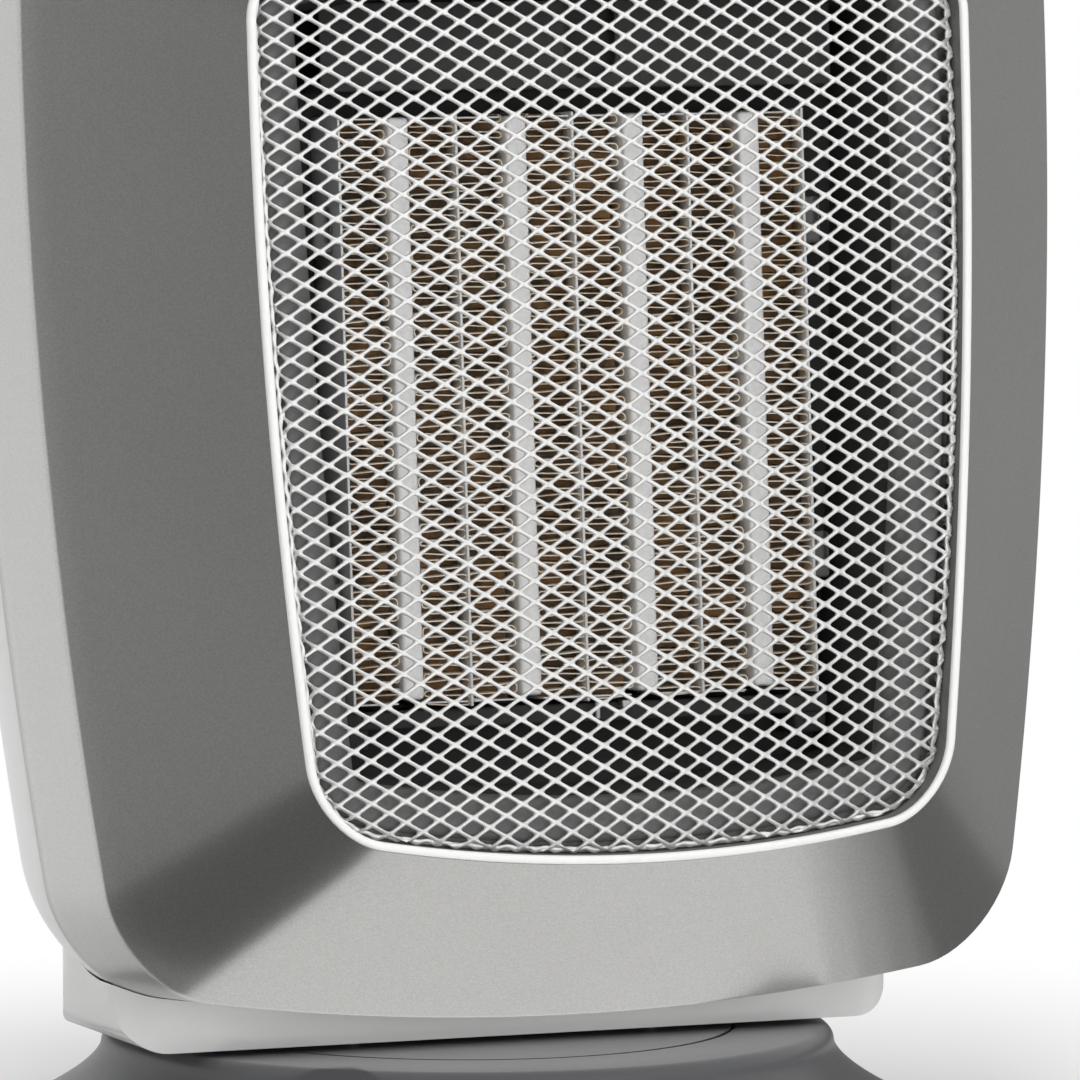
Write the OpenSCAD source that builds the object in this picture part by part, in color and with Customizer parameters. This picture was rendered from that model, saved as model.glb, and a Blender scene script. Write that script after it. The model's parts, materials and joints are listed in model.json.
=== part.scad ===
// Ceramic fan heater on an oscillating round pedestal.
// The pod that carries the heating core leans back on a level, turning neck.
// World frame: origin on the floor under the turning axis, +Z up, front towards -Y.

/* [Stance] */
// Height of the pedestal's top above the floor
base_h = 25; // [24:1:40]
// Radius of the pedestal at the floor
base_r = 94; // [90:1:110]
// Radius of the pedestal's top
base_top_r = 76; // [70:1:82]
// Running gap between the pedestal and the neck
deck_gap = 1; // [0.6:0.1:2]
// Backward lean of the pod, in degrees
lean = 4.3; // [0:0.1:8]

/* [Grille opening] */
// Width of the grille ring at its shoulders
grille_w = 155.4; // [145:0.2:165]
// Height of the grille ring
grille_h = 190; // [180:1:205]
// Clearance from the bezel's lowest edge to the turning deck
belly_gap = 3.5; // [2:0.5:8]
// Corner radius of the ring
grille_corner_r = 15.6; // [12:0.2:26]
// Height of the widest level above the ring's centre
shoulder_z = 75; // [50:1:90]
// Curvature radius of the ring's sides
grille_side_r = 1550; // [1200:10:2500]
// Curvature radius of the ring's top and bottom edges
grille_end_r = 410; // [350:10:900]
// Curvature radius of the ring across its width
crown_r = 1030; // [800:10:3000]

/* [Bezel] */
// How far the bezel flares sideways from the ring to the crease
flare = 34.6; // [28:0.2:40]
// How far the bezel drops below and rises above the ring
drop = 32; // [28:0.5:36]
// Depth from the ring to the crease
crease_d = 40; // [32:0.5:48]
// Depth of the side band behind the crease
band_d = 35; // [28:0.5:42]
// Corner radius of the crease outline
crease_corner_r = 21.5; // [18:0.5:40]
// Curvature radius of the crease outline's sides
crease_side_r = 1300; // [1100:10:2500]
// Curvature radius of the crease outline's top and bottom
crease_end_r = 680; // [500:10:1500]
// Rounding of the crease
crease_r = 1.6; // [0.8:0.1:3]
// Distance of the ring's front plane from the turning axis
front_d = 96; // [94:0.5:99]
// Wall of the bezel moulding
bezel_wall = 2.4; // [1.8:0.1:3]

/* [Ring and mesh] */
// Visible width of the ring
ring_w = 1.8; // [1.2:0.1:3]
// Depth of the ring's skirt
ring_d = 10; // [8:0.5:14]
// Thickness of the mesh sheet
mesh_t = 0.8; // [0.5:0.1:1.2]
// Horizontal pitch of the diamonds
mesh_lwd = 12; // [9:0.5:16]
// Vertical pitch of the diamonds
mesh_swd = 7.2; // [5:0.1:10]
// Width of a strand
strand = 1.2; // [0.8:0.1:2]
// Solid rim of the mesh sheet
mesh_rim = 2; // [1:0.5:4]

/* [Heating core] */
// Height of the finned core
core_h = 117; // [110:1:124]
// Depth of the finned core
core_d = 15; // [12:1:20]
// Height of the core's centre below the ring's centre
core_drop = 4; // [0:0.5:6]
// Number of PTC tubes
tube_count = 4; // [3:1:4]
// Width of a PTC tube
tube_w = 5.6; // [4:0.2:7]
// Width of one fin stack
fin_w = 9.4; // [8:0.2:10]
// Thickness of the plates between stacks
plate_t = 0.8; // [0.5:0.1:1.5]
// Sheet thickness of the fins
fin_t = 0.4; // [0.2:0.05:0.6]
// Pitch from one fin to the next
fin_pitch = 2.6; // [1.4:0.1:4]
// Distance of the core's front from the ring's front plane
core_back = 26; // [24:0.5:30]

/* [Fan and motor] */
// Radius over the blade tips
fan_r = 57; // [50:1:58]
// Radius of the fan hub
fan_hub_r = 19; // [16:1:24]
// Number of blades
blade_count = 7; // [5:1:9]
// Depth of the fan hub
fan_d = 20; // [16:1:22]
// Radius of the motor shaft
shaft_r = 2.5; // [2:0.1:3]
// Side of the stator's lamination stack
stator_w = 56; // [50:1:60]
// Thickness of the lamination stack
stator_d = 18; // [14:1:22]
// Radius of the rotor
rotor_r = 14; // [12:0.5:16]

/* [Rear housing] */
// Depth of the rear dome behind the side band
dome_d = 79; // [70:1:86]
// Wall of the white mouldings
wall = 2.5; // [2:0.1:3.5]
// Width of the intake grille
intake_w = 104; // [90:2:110]
// Height of the intake grille
intake_h = 118; // [100:2:124]
// Pitch of the intake slots
slot_pitch = 6; // [5:0.5:9]
// Width of an intake slot
slot_w = 2.8; // [2:0.1:3.4]

/* [Neck] */
// Width of the neck
neck_w = 172; // [164:2:180]
// Distance of the neck's front face from the turning axis
neck_front = 27; // [24:1:32]
// Distance of the neck's rear face from the turning axis
neck_back = 40; // [36:1:44]
// Rounding of the neck's lower and front edges
neck_r = 10; // [6:1:14]
// Rounding of the neck's rear corners, seen from above
neck_rear_r = 38; // [30:1:42]

/* [Turning gear] */
// Tooth module
gear_m = 1.25; // [1:0.25:1.25]
// Teeth on the fixed ring gear
ring_teeth = 56; // [52:2:60]
// Teeth on the pinion
pinion_teeth = 14; // [12:1:16]
// Backlash at the pitch circle
backlash = 0.25; // [0.1:0.05:0.4]
// Face width of the ring gear
gear_h = 6; // [4:0.5:6]
// Outer radius of the hollow pivot post
post_r = 12; // [10:0.5:13]
// Bore of the pivot post for the wiring
post_bore_r = 8.5; // [7:0.5:9]
// Height of the turntable's collar above the deck
collar_h = 12; // [8:1:18]
// Thickness of the turntable disc
turn_t = 3; // [2:0.5:4]

/* [Controls] */
// Radius of a control knob
knob_r = 13.5; // [11:0.5:14]
// Height of a control knob
knob_h = 13; // [10:0.5:18]
// Distance of each knob from the middle
knob_x = 34; // [28:1:38]
// Radius of the push button
button_r = 7; // [5:0.5:8]
// Travel of the push button
button_travel = 2.5; // [1.5:0.5:3]

/* [Pedestal] */
// Wall of the pedestal mouldings
base_wall = 2.5; // [2:0.1:3.5]
// Clearance between the floor and the bottom plate
foot_gap = 2; // [1.5:0.5:3]
// Radius of a rubber foot
foot_r = 8; // [6:0.5:10]
// Bore of the cord grommet
cord_bore_r = 3.7; // [3:0.1:4.5]
// Radius of the tip-over plunger
plunger_r = 4; // [3:0.5:5]
// Travel of the tip-over plunger
plunger_travel = 4; // [3:0.5:5]

/* [Clearances] */
// Gap between seated mouldings
fit = 0.2; // [0.1:0.05:0.4]
// Radial clearance of a shaft in its bearing
running = 0.06; // [0.02:0.01:0.1]
// Gap around parts that move past a wall
swing = 0.5; // [0.3:0.1:1]

/* [Hidden] */

$fn = 64;
corner_steps = 8;
edge_steps = 6;
eps = 0.01;

silver = [0.62, 0.61, 0.59];
white = [0.93, 0.93, 0.92];
charcoal = [0.2, 0.2, 0.21];
duct_grey = [0.34, 0.34, 0.35];
steel = [0.66, 0.67, 0.68];

deck_z = base_h + deck_gap;
ring_y = -front_d;
crease_y = ring_y + crease_d;
band_y = crease_y + band_d;
dome_y = band_y + dome_d;
grille_z = belly_gap + drop + grille_h / 2;
core_z = grille_z - core_drop;
core_y = ring_y + core_back;
core_rear = core_y + core_d;
tube_pitch = tube_w + plate_t + 2 * fin_w;
core_w = tube_count * tube_pitch + plate_t;

// ---------------------------------------------------------------- frames and outlines

// Carries pod parts from their upright frame to the leaning pod on its deck.
module pod() {
    translate([0, 0, deck_z]) rotate([-lean, 0, 0]) children();
}

// Extrudes an outline drawn in X and Z from a front plane towards the back.
module slab(front, depth) {
    translate([0, front + depth, 0]) rotate([90, 0, 0]) linear_extrude(depth) children();
}

// A cylinder along Y that starts at the given front plane.
module rod(front, depth, r) {
    translate([0, front, 0]) rotate([-90, 0, 0]) cylinder(r = r, h = depth);
}

function arc(x, z, r, start) = [for (k = [0:corner_steps])
    let (a = start + 90 * k / corner_steps) [x + r * cos(a), z + r * sin(a)]];
function between(p, q) = [for (k = [1:edge_steps - 1]) p + (q - p) * k / edge_steps];
function corner(i, w, h, r) =
    let (sx = [1, -1, -1, 1][i % 4], sz = [1, 1, -1, -1][i % 4])
    arc(sx * (w - r), sz * (h - r), r, 90 * (i % 4));

// Rounded rectangle of half sizes w and h, with points along its straight sides too.
function rounded(w, h, r) = [for (i = [0:3])
    let (here = corner(i, w, h, r), next = corner(i + 1, w, h, r))
    each concat(here, between(here[corner_steps], next[0]))];

// Rounded rectangle whose sides swell towards the shoulders and whose ends bow outwards.
function shield(w, h, side_r, end_r, r) = [for (p = rounded(w, h, r))
    [p[0] * (1 - pow(p[1] - shoulder_z, 2) / (2 * side_r * w)),
     p[1] * (1 - p[0] * p[0] / (2 * end_r * h))]];

function ring_outline(inset = 0) =
    shield(grille_w / 2 - inset, grille_h / 2 - inset, grille_side_r, grille_end_r,
           max(grille_corner_r - inset, 2));
function crease_outline(inset = 0) =
    shield(grille_w / 2 + flare - inset, grille_h / 2 + drop - inset, crease_side_r, crease_end_r,
           max(crease_corner_r - inset, 2));
function blend(a, b, k) = [for (i = [0:len(a) - 1]) a[i] * (1 - k) + b[i] * k];

// Places an outline upright at depth y, bent back at the sides by a crown radius.
function station(outline, y, crown = 0) = [for (p = outline)
    [p[0], y + (crown > 0 ? p[0] * p[0] / (2 * crown) : 0), p[1] + grille_z]];

// Skins a row of equal outlines: capped at both ends, or closed round into a shell.
module skin(rings, capped = true) {
    n = len(rings[0]);
    m = len(rings);
    last = capped ? m - 2 : m - 1;
    sides = [for (i = [0:last]) for (j = [0:n - 1])
        let (a = i * n + j, b = i * n + (j + 1) % n,
             c = ((i + 1) % m) * n + (j + 1) % n, d = ((i + 1) % m) * n + j)
        each [[a, b, c], [a, c, d]]];
    ends = capped ? [[for (j = [n - 1:-1:0]) j], [for (j = [0:n - 1]) (m - 1) * n + j]] : [];
    polyhedron(points = [for (r = rings) each r], faces = concat(sides, ends));
}

// Rounded rectangle in the extrusion plane.
module plate2d(w, h, r) {
    translate([-w / 2 + r, -h / 2]) square([w - 2 * r, h]);
    translate([-w / 2, -h / 2 + r]) square([w, h - 2 * r]);
    for (x = [-1, 1], y = [-1, 1]) translate([x * (w / 2 - r), y * (h / 2 - r)]) circle(r);
}

// ---------------------------------------------------------------- bezel, ring and mesh

module bezel() {
    lip = fit;
    slope = atan2(flare, crease_d);
    inner_shift = bezel_wall / cos(slope);
    color(silver) pod() skin([
        station(ring_outline(-lip), ring_y + 1, crown_r),
        station(blend(ring_outline(-lip), crease_outline(), 1 - crease_r / flare), crease_y - crease_r),
        station(crease_outline(0), crease_y + crease_r),
        station(crease_outline(0), band_y),
        station(crease_outline(bezel_wall), band_y),
        station(crease_outline(bezel_wall), crease_y + inner_shift),
        station(ring_outline(-lip), ring_y + 1 + inner_shift, crown_r)], capped = false);
}

module trim_ring() {
    color(white) pod() skin([
        station(ring_outline(0), ring_y + 0.4, crown_r),
        station(ring_outline(0), ring_y + ring_d),
        station(ring_outline(ring_w), ring_y + ring_d),
        station(ring_outline(ring_w), ring_y, crown_r),
        station(ring_outline(ring_w / 2), ring_y - 0.3, crown_r)], capped = false);
}

mesh_y = ring_y + 4;
mesh_inset = ring_w + fit;
function side_at(z, w) = w - pow(z - shoulder_z, 2) / (2 * grille_side_r);
function end_at(x, h) = h - x * x / (2 * grille_end_r);

// How far a point lies inside the opening that the sheet's rim leaves.
function depth_inside(x, z) =
    let (m = mesh_inset + mesh_rim, r = grille_corner_r - m,
         dx = side_at(z, grille_w / 2 - m) - abs(x), dz = end_at(x, grille_h / 2 - m) - abs(z))
    dx < r && dz < r ? r - norm([r - dx, r - dz]) : min(dx, dz);

module diamond() {
    angle = atan2(mesh_swd, mesh_lwd);
    a = mesh_lwd / 2 - strand / 2 / sin(angle);
    b = mesh_swd / 2 - strand / 2 / cos(angle);
    polygon([[-a, 0], [0, -b], [a, 0], [0, b]]);
}

module grille_mesh() {
    rows = ceil(grille_h / mesh_swd);
    columns = ceil(grille_w / mesh_lwd / 2) + 1;
    color([0.82, 0.82, 0.81]) pod() translate([0, 0, grille_z]) slab(mesh_y, mesh_t) difference() {
        polygon(ring_outline(mesh_inset));
        for (row = [-rows:rows], column = [-columns:columns]) {
            x = (column + (abs(row) % 2) / 2) * mesh_lwd;
            z = row * mesh_swd / 2;
            room = depth_inside(x, z);
            if (room > mesh_lwd / 2) translate([x, z]) diamond();
            else if (room > 0.2) intersection() {
                translate([x, z]) diamond();
                polygon(ring_outline(mesh_inset + mesh_rim));
            }
        }
    }
}

module mesh_retainer() {
    color(charcoal) pod() translate([0, 0, grille_z])
        slab(mesh_y + mesh_t, ring_d - 4 - mesh_t) difference() {
            polygon(ring_outline(mesh_inset));
            polygon(ring_outline(mesh_inset + 2.5));
        }
}

// ---------------------------------------------------------------- heating core and its frame

frame_y = ring_y + ring_d;
frame_inset = mesh_inset;
well_inset = frame_inset + 13;
back_plate_y = core_rear - 1;
back_plate_t = 2.5;
frame_wall = 1.6;
notch_r = 6;
cap_h = 9;

module heater_frame() {
    color(duct_grey) pod() {
        difference() {
            union() {
                skin([
                    station(ring_outline(frame_inset), frame_y),
                    station(ring_outline(well_inset), core_y),
                    station(ring_outline(well_inset), back_plate_y + back_plate_t),
                    station(ring_outline(well_inset + frame_wall), back_plate_y + back_plate_t),
                    station(ring_outline(well_inset + frame_wall), core_y + 1),
                    station(ring_outline(frame_inset + frame_wall), frame_y)], capped = false);
                translate([0, 0, grille_z]) slab(back_plate_y, back_plate_t)
                    polygon(ring_outline(well_inset + frame_wall / 2));
            }
            translate([0, 0, core_z]) slab(back_plate_y - 1, back_plate_t + 2)
                square([core_w + 2 * fit, core_h + 2 * fit], center = true);
        }
        // Clips that hold the core at both sides
        for (side = [-1, 1], z = [-0.27, 0.27])
            translate([side * (core_w / 2 + fit + 3), core_y + 3, core_z + z * core_h])
                translate([-3, 0, -7]) cube([6, back_plate_y - core_y - 3 + eps, 14]);
    }
}

function tube_x(i) = (i - (tube_count - 1) / 2) * tube_pitch;
function plate_x(i) = (i - tube_count / 2) * tube_pitch;

module ptc_tubes() {
    inner = tube_w - 1.6;
    color([0.8, 0.8, 0.79]) pod() for (i = [0:tube_count - 1])
        translate([tube_x(i) - tube_w / 2, core_y, core_z - core_h / 2]) difference() {
            cube([tube_w, core_d, core_h]);
            translate([0.8, 0.8, -eps]) cube([inner, core_d - 1.6, 6]);
        }
}

// Outline of one corrugated stack: a strip folded to and fro, up its right side and down its left.
function fin_outline(count, r, t) = concat(
    [for (j = [0:count / 2 - 1]) let (z = 2 * j * fin_pitch, up = z + fin_pitch + t)
        each concat([[r, z], [r, up]], j < count / 2 - 1 ? [[t - r, up], [t - r, z + 2 * fin_pitch]] : [])],
    [[-r, (count - 1) * fin_pitch + t]],
    [for (j = [count / 2 - 1:-1:0]) let (z = 2 * j * fin_pitch)
        each [[-r, z + fin_pitch], [r - t, z + fin_pitch], [r - t, z + t], [-r, z + t]]],
    [[-r, 0]]);

module fin_stacks() {
    setback = 0.6;
    count = 2 * floor((core_h - fin_t) / fin_pitch / 2);
    start = core_z - ((count - 1) * fin_pitch + fin_t) / 2;
    color([0.72, 0.7, 0.66]) pod() for (i = [0:tube_count - 1], side = [-1, 1])
        translate([tube_x(i) + side * (tube_w + fin_w) / 2, 0, start])
            slab(core_y + setback, core_d - 2 * setback)
                polygon(fin_outline(count, fin_w / 2 - eps, fin_t));
}

module core_plates() {
    color(steel) pod() for (i = [0:tube_count])
        translate([plate_x(i) - plate_t / 2, core_y, core_z - core_h / 2])
            cube([plate_t, core_d, core_h]);
}

module core_end_caps() {
    cap_w = core_w + 6;
    color(duct_grey) pod() {
        // Top cap with a half-round notch in its front edge
        translate([0, 0, core_z + core_h / 2]) difference() {
            translate([-cap_w / 2, core_y + 1, 0]) cube([cap_w, back_plate_y - core_y - 1, cap_h]);
            translate([0, core_y + 1, -eps]) cylinder(r = notch_r, h = cap_h + 1);
        }
        // Bottom cap on short legs between the tubes
        translate([0, 0, core_z - core_h / 2]) {
            translate([-cap_w / 2, core_y + 4, -5]) cube([cap_w, back_plate_y - core_y - 4, 5]);
            for (i = [0:tube_count]) translate([plate_x(i) - 1.5, core_y + 1, -9])
                cube([3, back_plate_y - core_y - 1, 9]);
        }
    }
}

terminal_z = core_z + core_h / 2 + cap_h;

module core_terminals() {
    color("goldenrod") pod() for (x = [-tube_pitch / 2, tube_pitch / 2 - 3, tube_pitch / 2 + 9])
        translate([x - 3.15, core_y + 6, terminal_z])
            difference() {
                cube([6.3, 0.8, 9]);
                translate([3.15, -1, 6]) rotate([-90, 0, 0]) cylinder(r = 0.9, h = 3, $fn = 24);
            }
}

cutout_x = -tube_pitch / 2 - 16;

module thermal_cutout() {
    color([0.75, 0.75, 0.77]) pod() translate([cutout_x, core_y + 7.3, terminal_z]) {
        cylinder(r = 6.2, h = 2.5);
        translate([0, 0, 2.5]) cylinder(r = 5.5, h = 5);
        for (x = [-1, 1]) translate([x * 3 - 1.5, -0.4, 7.5]) cube([3, 0.8, 5]);
    }
}

module thermal_fuse() {
    color([0.85, 0.82, 0.75]) pod() translate([core_w / 2 - 10, core_y + 8, terminal_z]) {
        translate([-8, -4, 0]) cube([16, 8, 1.5]);
        translate([-7, 0, 3]) rotate([0, 90, 0]) cylinder(r = 2, h = 14);
    }
}

// ---------------------------------------------------------------- fan and motor

shroud_y = back_plate_y + back_plate_t;
shroud_w = 2 * fan_r + 14;
shroud_d = fan_d + 10;
shroud_wall = 2.2;
venturi_r = fan_r + 1.5;
spider_y = shroud_y + shroud_d;
spider_t = 4;
fan_y = shroud_y + 6;
motor_y = spider_y + spider_t;
bracket_t = 4;
post_gap = 7;
stator_y = motor_y + bracket_t + post_gap;
motor_screw_x = stator_w / 2 - 6;

module fan_shroud() {
    arm = 8;
    color(charcoal) pod() translate([0, 0, core_z]) difference() {
        union() {
            slab(shroud_y, shroud_d) plate2d(shroud_w, shroud_w, 10);
            for (turn = [0, 90]) slab(spider_y, spider_t) rotate(turn)
                square([2 * venturi_r + 6, arm], center = true);
            rod(spider_y, spider_t, 17);
            slab(spider_y, spider_t) square([stator_w, arm + 6], center = true);
        }
        slab(shroud_y - 1, shroud_d - shroud_wall + 1)
            plate2d(shroud_w - 2 * shroud_wall, shroud_w - 2 * shroud_wall, 8);
        rod(shroud_y, shroud_d + eps, venturi_r);
        rod(shroud_y, shroud_d + spider_t + 1, 9);
        for (x = [-1, 1]) translate([x * motor_screw_x, 0, 0]) rod(spider_y - 1, spider_t + 2, 1.8);
    }
}

module motor_stator() {
    gap = 0.5;
    leg = 13;
    color([0.55, 0.56, 0.58]) pod() translate([0, 0, core_z]) slab(stator_y, stator_d) difference() {
        translate([-stator_w / 2, -stator_w / 2 - 8]) square([stator_w, stator_w + 8]);
        circle(rotor_r + gap);
        translate([-stator_w / 2 + leg, -stator_w / 2 - 8 + leg])
            square([stator_w - 2 * leg, 8]);
        for (x = [-1, 1]) translate([x * motor_screw_x, 0]) circle(1.8);
    }
}

module motor_coil() {
    leg = 13;
    coil_h = 11;
    color([0.7, 0.35, 0.15]) pod()
        translate([0, 0, core_z - stator_w / 2 - 8 + leg / 2]) difference() {
            translate([-stator_w / 4 - 1, stator_y - 6, -leg / 2 - 5])
                cube([stator_w / 2 + 2, stator_d + 12, leg + coil_h]);
            translate([-stator_w / 2, stator_y - fit, -leg / 2 - fit])
                cube([stator_w, stator_d + 2 * fit, leg + 2 * fit]);
            translate([-stator_w / 2, stator_y - 7, leg / 2 + 5]) cube([stator_w, stator_d + 14, 20]);
        }
}

bush_r = 5;
bush_d = 8;

// Pressed bracket with a bearing seat, two screw holes and stand-off feet.
module bracket(front, foot_front, foot_d) {
    pod() translate([0, 0, core_z]) difference() {
        union() {
            slab(front, bracket_t) plate2d(stator_w, 20, 5);
            rod(front, bracket_t, 12);
            for (x = [-1, 1]) translate([x * motor_screw_x, 0, 0]) rod(foot_front, foot_d, 4);
        }
        rod(front - 1, bracket_t + 2, bush_r + running);
        for (x = [-1, 1]) translate([x * motor_screw_x, 0, 0])
            rod(front - stator_d, bracket_t + 2 * stator_d, 1.8);
    }
}

rear_bracket_y = stator_y + stator_d + post_gap;

module front_bracket() {
    color([0.72, 0.73, 0.75]) bracket(motor_y, motor_y, bracket_t + post_gap);
}

module rear_bracket() {
    color([0.72, 0.73, 0.75]) bracket(rear_bracket_y, stator_y + stator_d, post_gap + bracket_t);
}

module motor_bushes() {
    color([0.72, 0.55, 0.3]) pod() translate([0, 0, core_z])
        for (front = [motor_y - 1, rear_bracket_y + bracket_t + 1 - bush_d + 1]) difference() {
            rod(front, bush_d - 2, bush_r);
            rod(front - 1, bush_d, shaft_r + running);
        }
}

module motor_screws() {
    length = rear_bracket_y + bracket_t - spider_y + 2;
    color(steel) pod() translate([0, 0, core_z]) for (x = [-1, 1]) translate([x * motor_screw_x, 0, 0]) {
        rod(spider_y - 2, length, 1.6);
        rod(rear_bracket_y + bracket_t, 2.4, 3);
    }
}

// A cambered blade: a slice of a tube wall, set at an angle on the hub and cut to the tip radius.
module blade(sweep) {
    camber_r = 46;
    blade_t = 1.8;
    pitch = 38;
    chord = fan_d / sin(pitch) * 0.86;
    rotate([0, sweep, 0]) intersection() {
        translate([0, 0, fan_hub_r - 1.5]) rotate([0, 0, pitch]) translate([0, camber_r, 0])
            intersection() {
                difference() {
                    cylinder(r = camber_r + blade_t / 2, h = fan_r);
                    translate([0, 0, -1]) cylinder(r = camber_r - blade_t / 2, h = fan_r + 2);
                }
                translate([-chord / 2, -camber_r - 5, 0]) cube([chord, 25, fan_r]);
            }
        rod(-fan_d / 2, fan_d, fan_r);
    }
}

module fan_impeller() {
    color([0.25, 0.25, 0.27]) pod() translate([0, 0, core_z]) translate([0, fan_y + fan_d / 2, 0])
        difference() {
            union() {
                rod(-fan_d / 2, fan_d, fan_hub_r);
                for (i = [0:blade_count - 1]) blade(360 * i / blade_count);
            }
            rod(-fan_d / 2 + 3, fan_d, fan_hub_r - 2.5);
        }
}

module motor_shaft() {
    front = fan_y + 3;
    length = rear_bracket_y + bracket_t + 4 - front;
    color([0.8, 0.8, 0.82]) pod() translate([0, 0, core_z]) {
        rod(front, length, shaft_r);
        rod(front, fan_d - 3 - 4, 6);
    }
}

module motor_rotor() {
    color([0.6, 0.6, 0.62]) pod() translate([0, 0, core_z]) difference() {
        union() {
            rod(stator_y + 0.5, stator_d - 1, rotor_r);
            rod(stator_y - 3, stator_d + 6, rotor_r - 4);
        }
        rod(stator_y - 4, stator_d + 8, shaft_r);
    }
}

// ---------------------------------------------------------------- rear housing

// Share of the dome's depth, and how far its sides and ends have closed in by there.
dome_profile = [[0, 0], [0.1, 0.01], [0.25, 0.06], [0.42, 0.16], [0.58, 0.3], [0.72, 0.46],
                [0.84, 0.64], [0.93, 0.82], [1, 1]];
dome_side = 50;
dome_end = 45;

function dome_station(p, grow, set_in = 0) =
    station(shield(grille_w / 2 + flare - fit - dome_side * p[1] + grow,
                   grille_h / 2 + drop - fit - dome_end * p[1] + grow,
                   crease_side_r, crease_end_r, crease_corner_r + 14 * p[1]),
            band_y + fit + p[0] * dome_d - set_in * p[1]);

// The dome's outer form as a solid, grown or shrunk.
module dome_form(grow = 0) {
    skin([for (p = dome_profile) dome_station(p, grow)]);
}

// The white shell: dome wall with an open rear and a tongue that slides into the bezel.
module dome_shell() {
    tongue = 8;
    lap = bezel_wall + fit;
    rows = len(dome_profile);
    skin(concat(
        [for (p = dome_profile) dome_station(p, 0)],
        [for (k = [rows - 1:-1:0]) dome_station(dome_profile[k], -wall, wall)],
        [station(crease_outline(lap + wall), band_y - tongue),
         station(crease_outline(lap), band_y - tongue),
         station(crease_outline(lap), band_y + fit)]), capped = false);
}

rear_w = grille_w / 2 + flare - fit - dome_side - wall;
rear_h = grille_h / 2 + drop - fit - dome_end - wall;
function rear_outline(inset = 0) =
    shield(rear_w - inset, rear_h - inset, crease_side_r, crease_end_r, crease_corner_r + 14);

cup_w = 92;
cup_h = 26;
cup_z = grille_z + rear_h + 2 * wall + cup_h / 2;
cup_front = 16;
cup_wall = 2;
intake_t = 3;
screw_x = rear_w - 22;
screw_z = rear_h - 16;
boss_l = 12;

panel_t = 2.5;
panel_w = 112;
panel_d = 31;
panel_sink = 12;
panel_z = grille_z + grille_h / 2 + drop - fit - panel_sink;
panel_front = band_y + 3;
panel_ledge = 3;
control_y = panel_front + panel_d / 2 - 0.5;

// A box centred across the pod, from its front, lower corner.
module block(w, front, d, low, h) {
    translate([-w / 2, front, low]) cube([w, d, h]);
}

module rear_housing() {
    floor_w = 120;
    color(white) pod() difference() {
        union() {
            dome_shell();
            // Well round the control panel
            intersection() {
                dome_form(-wall / 4);
                block(panel_w + 2 * fit + 2 * wall, panel_front - fit - wall,
                      panel_d + 2 * fit + 2 * wall, panel_z - panel_t - 2, 40);
            }
            // Screw bosses inside the rear rim, each on a web
            for (x = [-1, 1], z = [-1, 1]) translate([x * screw_x, 0, grille_z + z * screw_z])
                rod(dome_y - intake_t - boss_l, boss_l, 5);
            intersection() {
                dome_form(-wall / 2);
                for (x = [-1, 1], z = [-1, 1])
                    translate([x * screw_x - 1.5, dome_y - intake_t - boss_l, grille_z + z * (screw_z + 10) - 10])
                        cube([3, boss_l, 20]);
            }
        }
        // Panel seat and the opening below it
        block(panel_w + 2 * fit, panel_front - fit, panel_d + 2 * fit, panel_z - panel_t, 40);
        block(panel_w - 2 * panel_ledge, panel_front + panel_ledge, panel_d - 2 * panel_ledge,
              panel_z - panel_t - 10, 40);
        // Scoop for the carrying handle
        block(cup_w + 2 * fit, cup_front - fit, 80, cup_z - cup_h / 2 - fit, cup_h + 2 * fit);
        // Floor opening over the neck
        block(floor_w, -18, 54, -20, 50);
        for (x = [-1, 1], z = [-1, 1]) translate([x * screw_x, 0, grille_z + z * screw_z])
            rod(dome_y - intake_t - boss_l - 1, boss_l + 5, 1.6);
    }
}

module intake_grille() {
    rows = floor(intake_h / slot_pitch / 2);
    rib = 6;
    color([0.9, 0.9, 0.89]) pod() translate([0, 0, grille_z]) difference() {
        slab(dome_y - intake_t, intake_t) difference() {
            polygon(rear_outline(fit));
            intersection() {
                union() for (row = [-rows:rows], side = [-1, 1])
                    translate([side * (intake_w + rib) / 4, row * slot_pitch])
                        square([(intake_w - rib) / 2, slot_w], center = true);
                polygon(rear_outline(6));
            }
        }
        for (x = [-1, 1], z = [-1, 1]) translate([x * screw_x, 0, z * screw_z])
            rod(dome_y - intake_t - 1, intake_t + 2, 1.8);
    }
}

filter_t = 4;

module dust_filter() {
    color([0.25, 0.25, 0.25]) pod() translate([0, 0, grille_z])
        slab(dome_y - intake_t - filter_t, filter_t) intersection() {
            polygon(rear_outline(4));
            square([intake_w + 4, 2 * screw_z - 12], center = true);
        }
}

module handle_cup() {
    color(white) pod() difference() {
        intersection() {
            dome_form(-wall / 4);
            block(cup_w, cup_front, 80, cup_z - cup_h / 2, cup_h);
        }
        block(cup_w - 2 * cup_wall, cup_front + cup_wall, 80, cup_z - cup_h / 2 + cup_wall,
              cup_h - 2 * cup_wall);
    }
}

module housing_screws() {
    color(steel) pod() for (x = [-1, 1], z = [-1, 1])
        translate([x * screw_x, 0, grille_z + z * screw_z]) {
            rod(dome_y - 13, 13, 1.5);
            rod(dome_y, 2, 3);
        }
}

// ---------------------------------------------------------------- neck and turning gear

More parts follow.
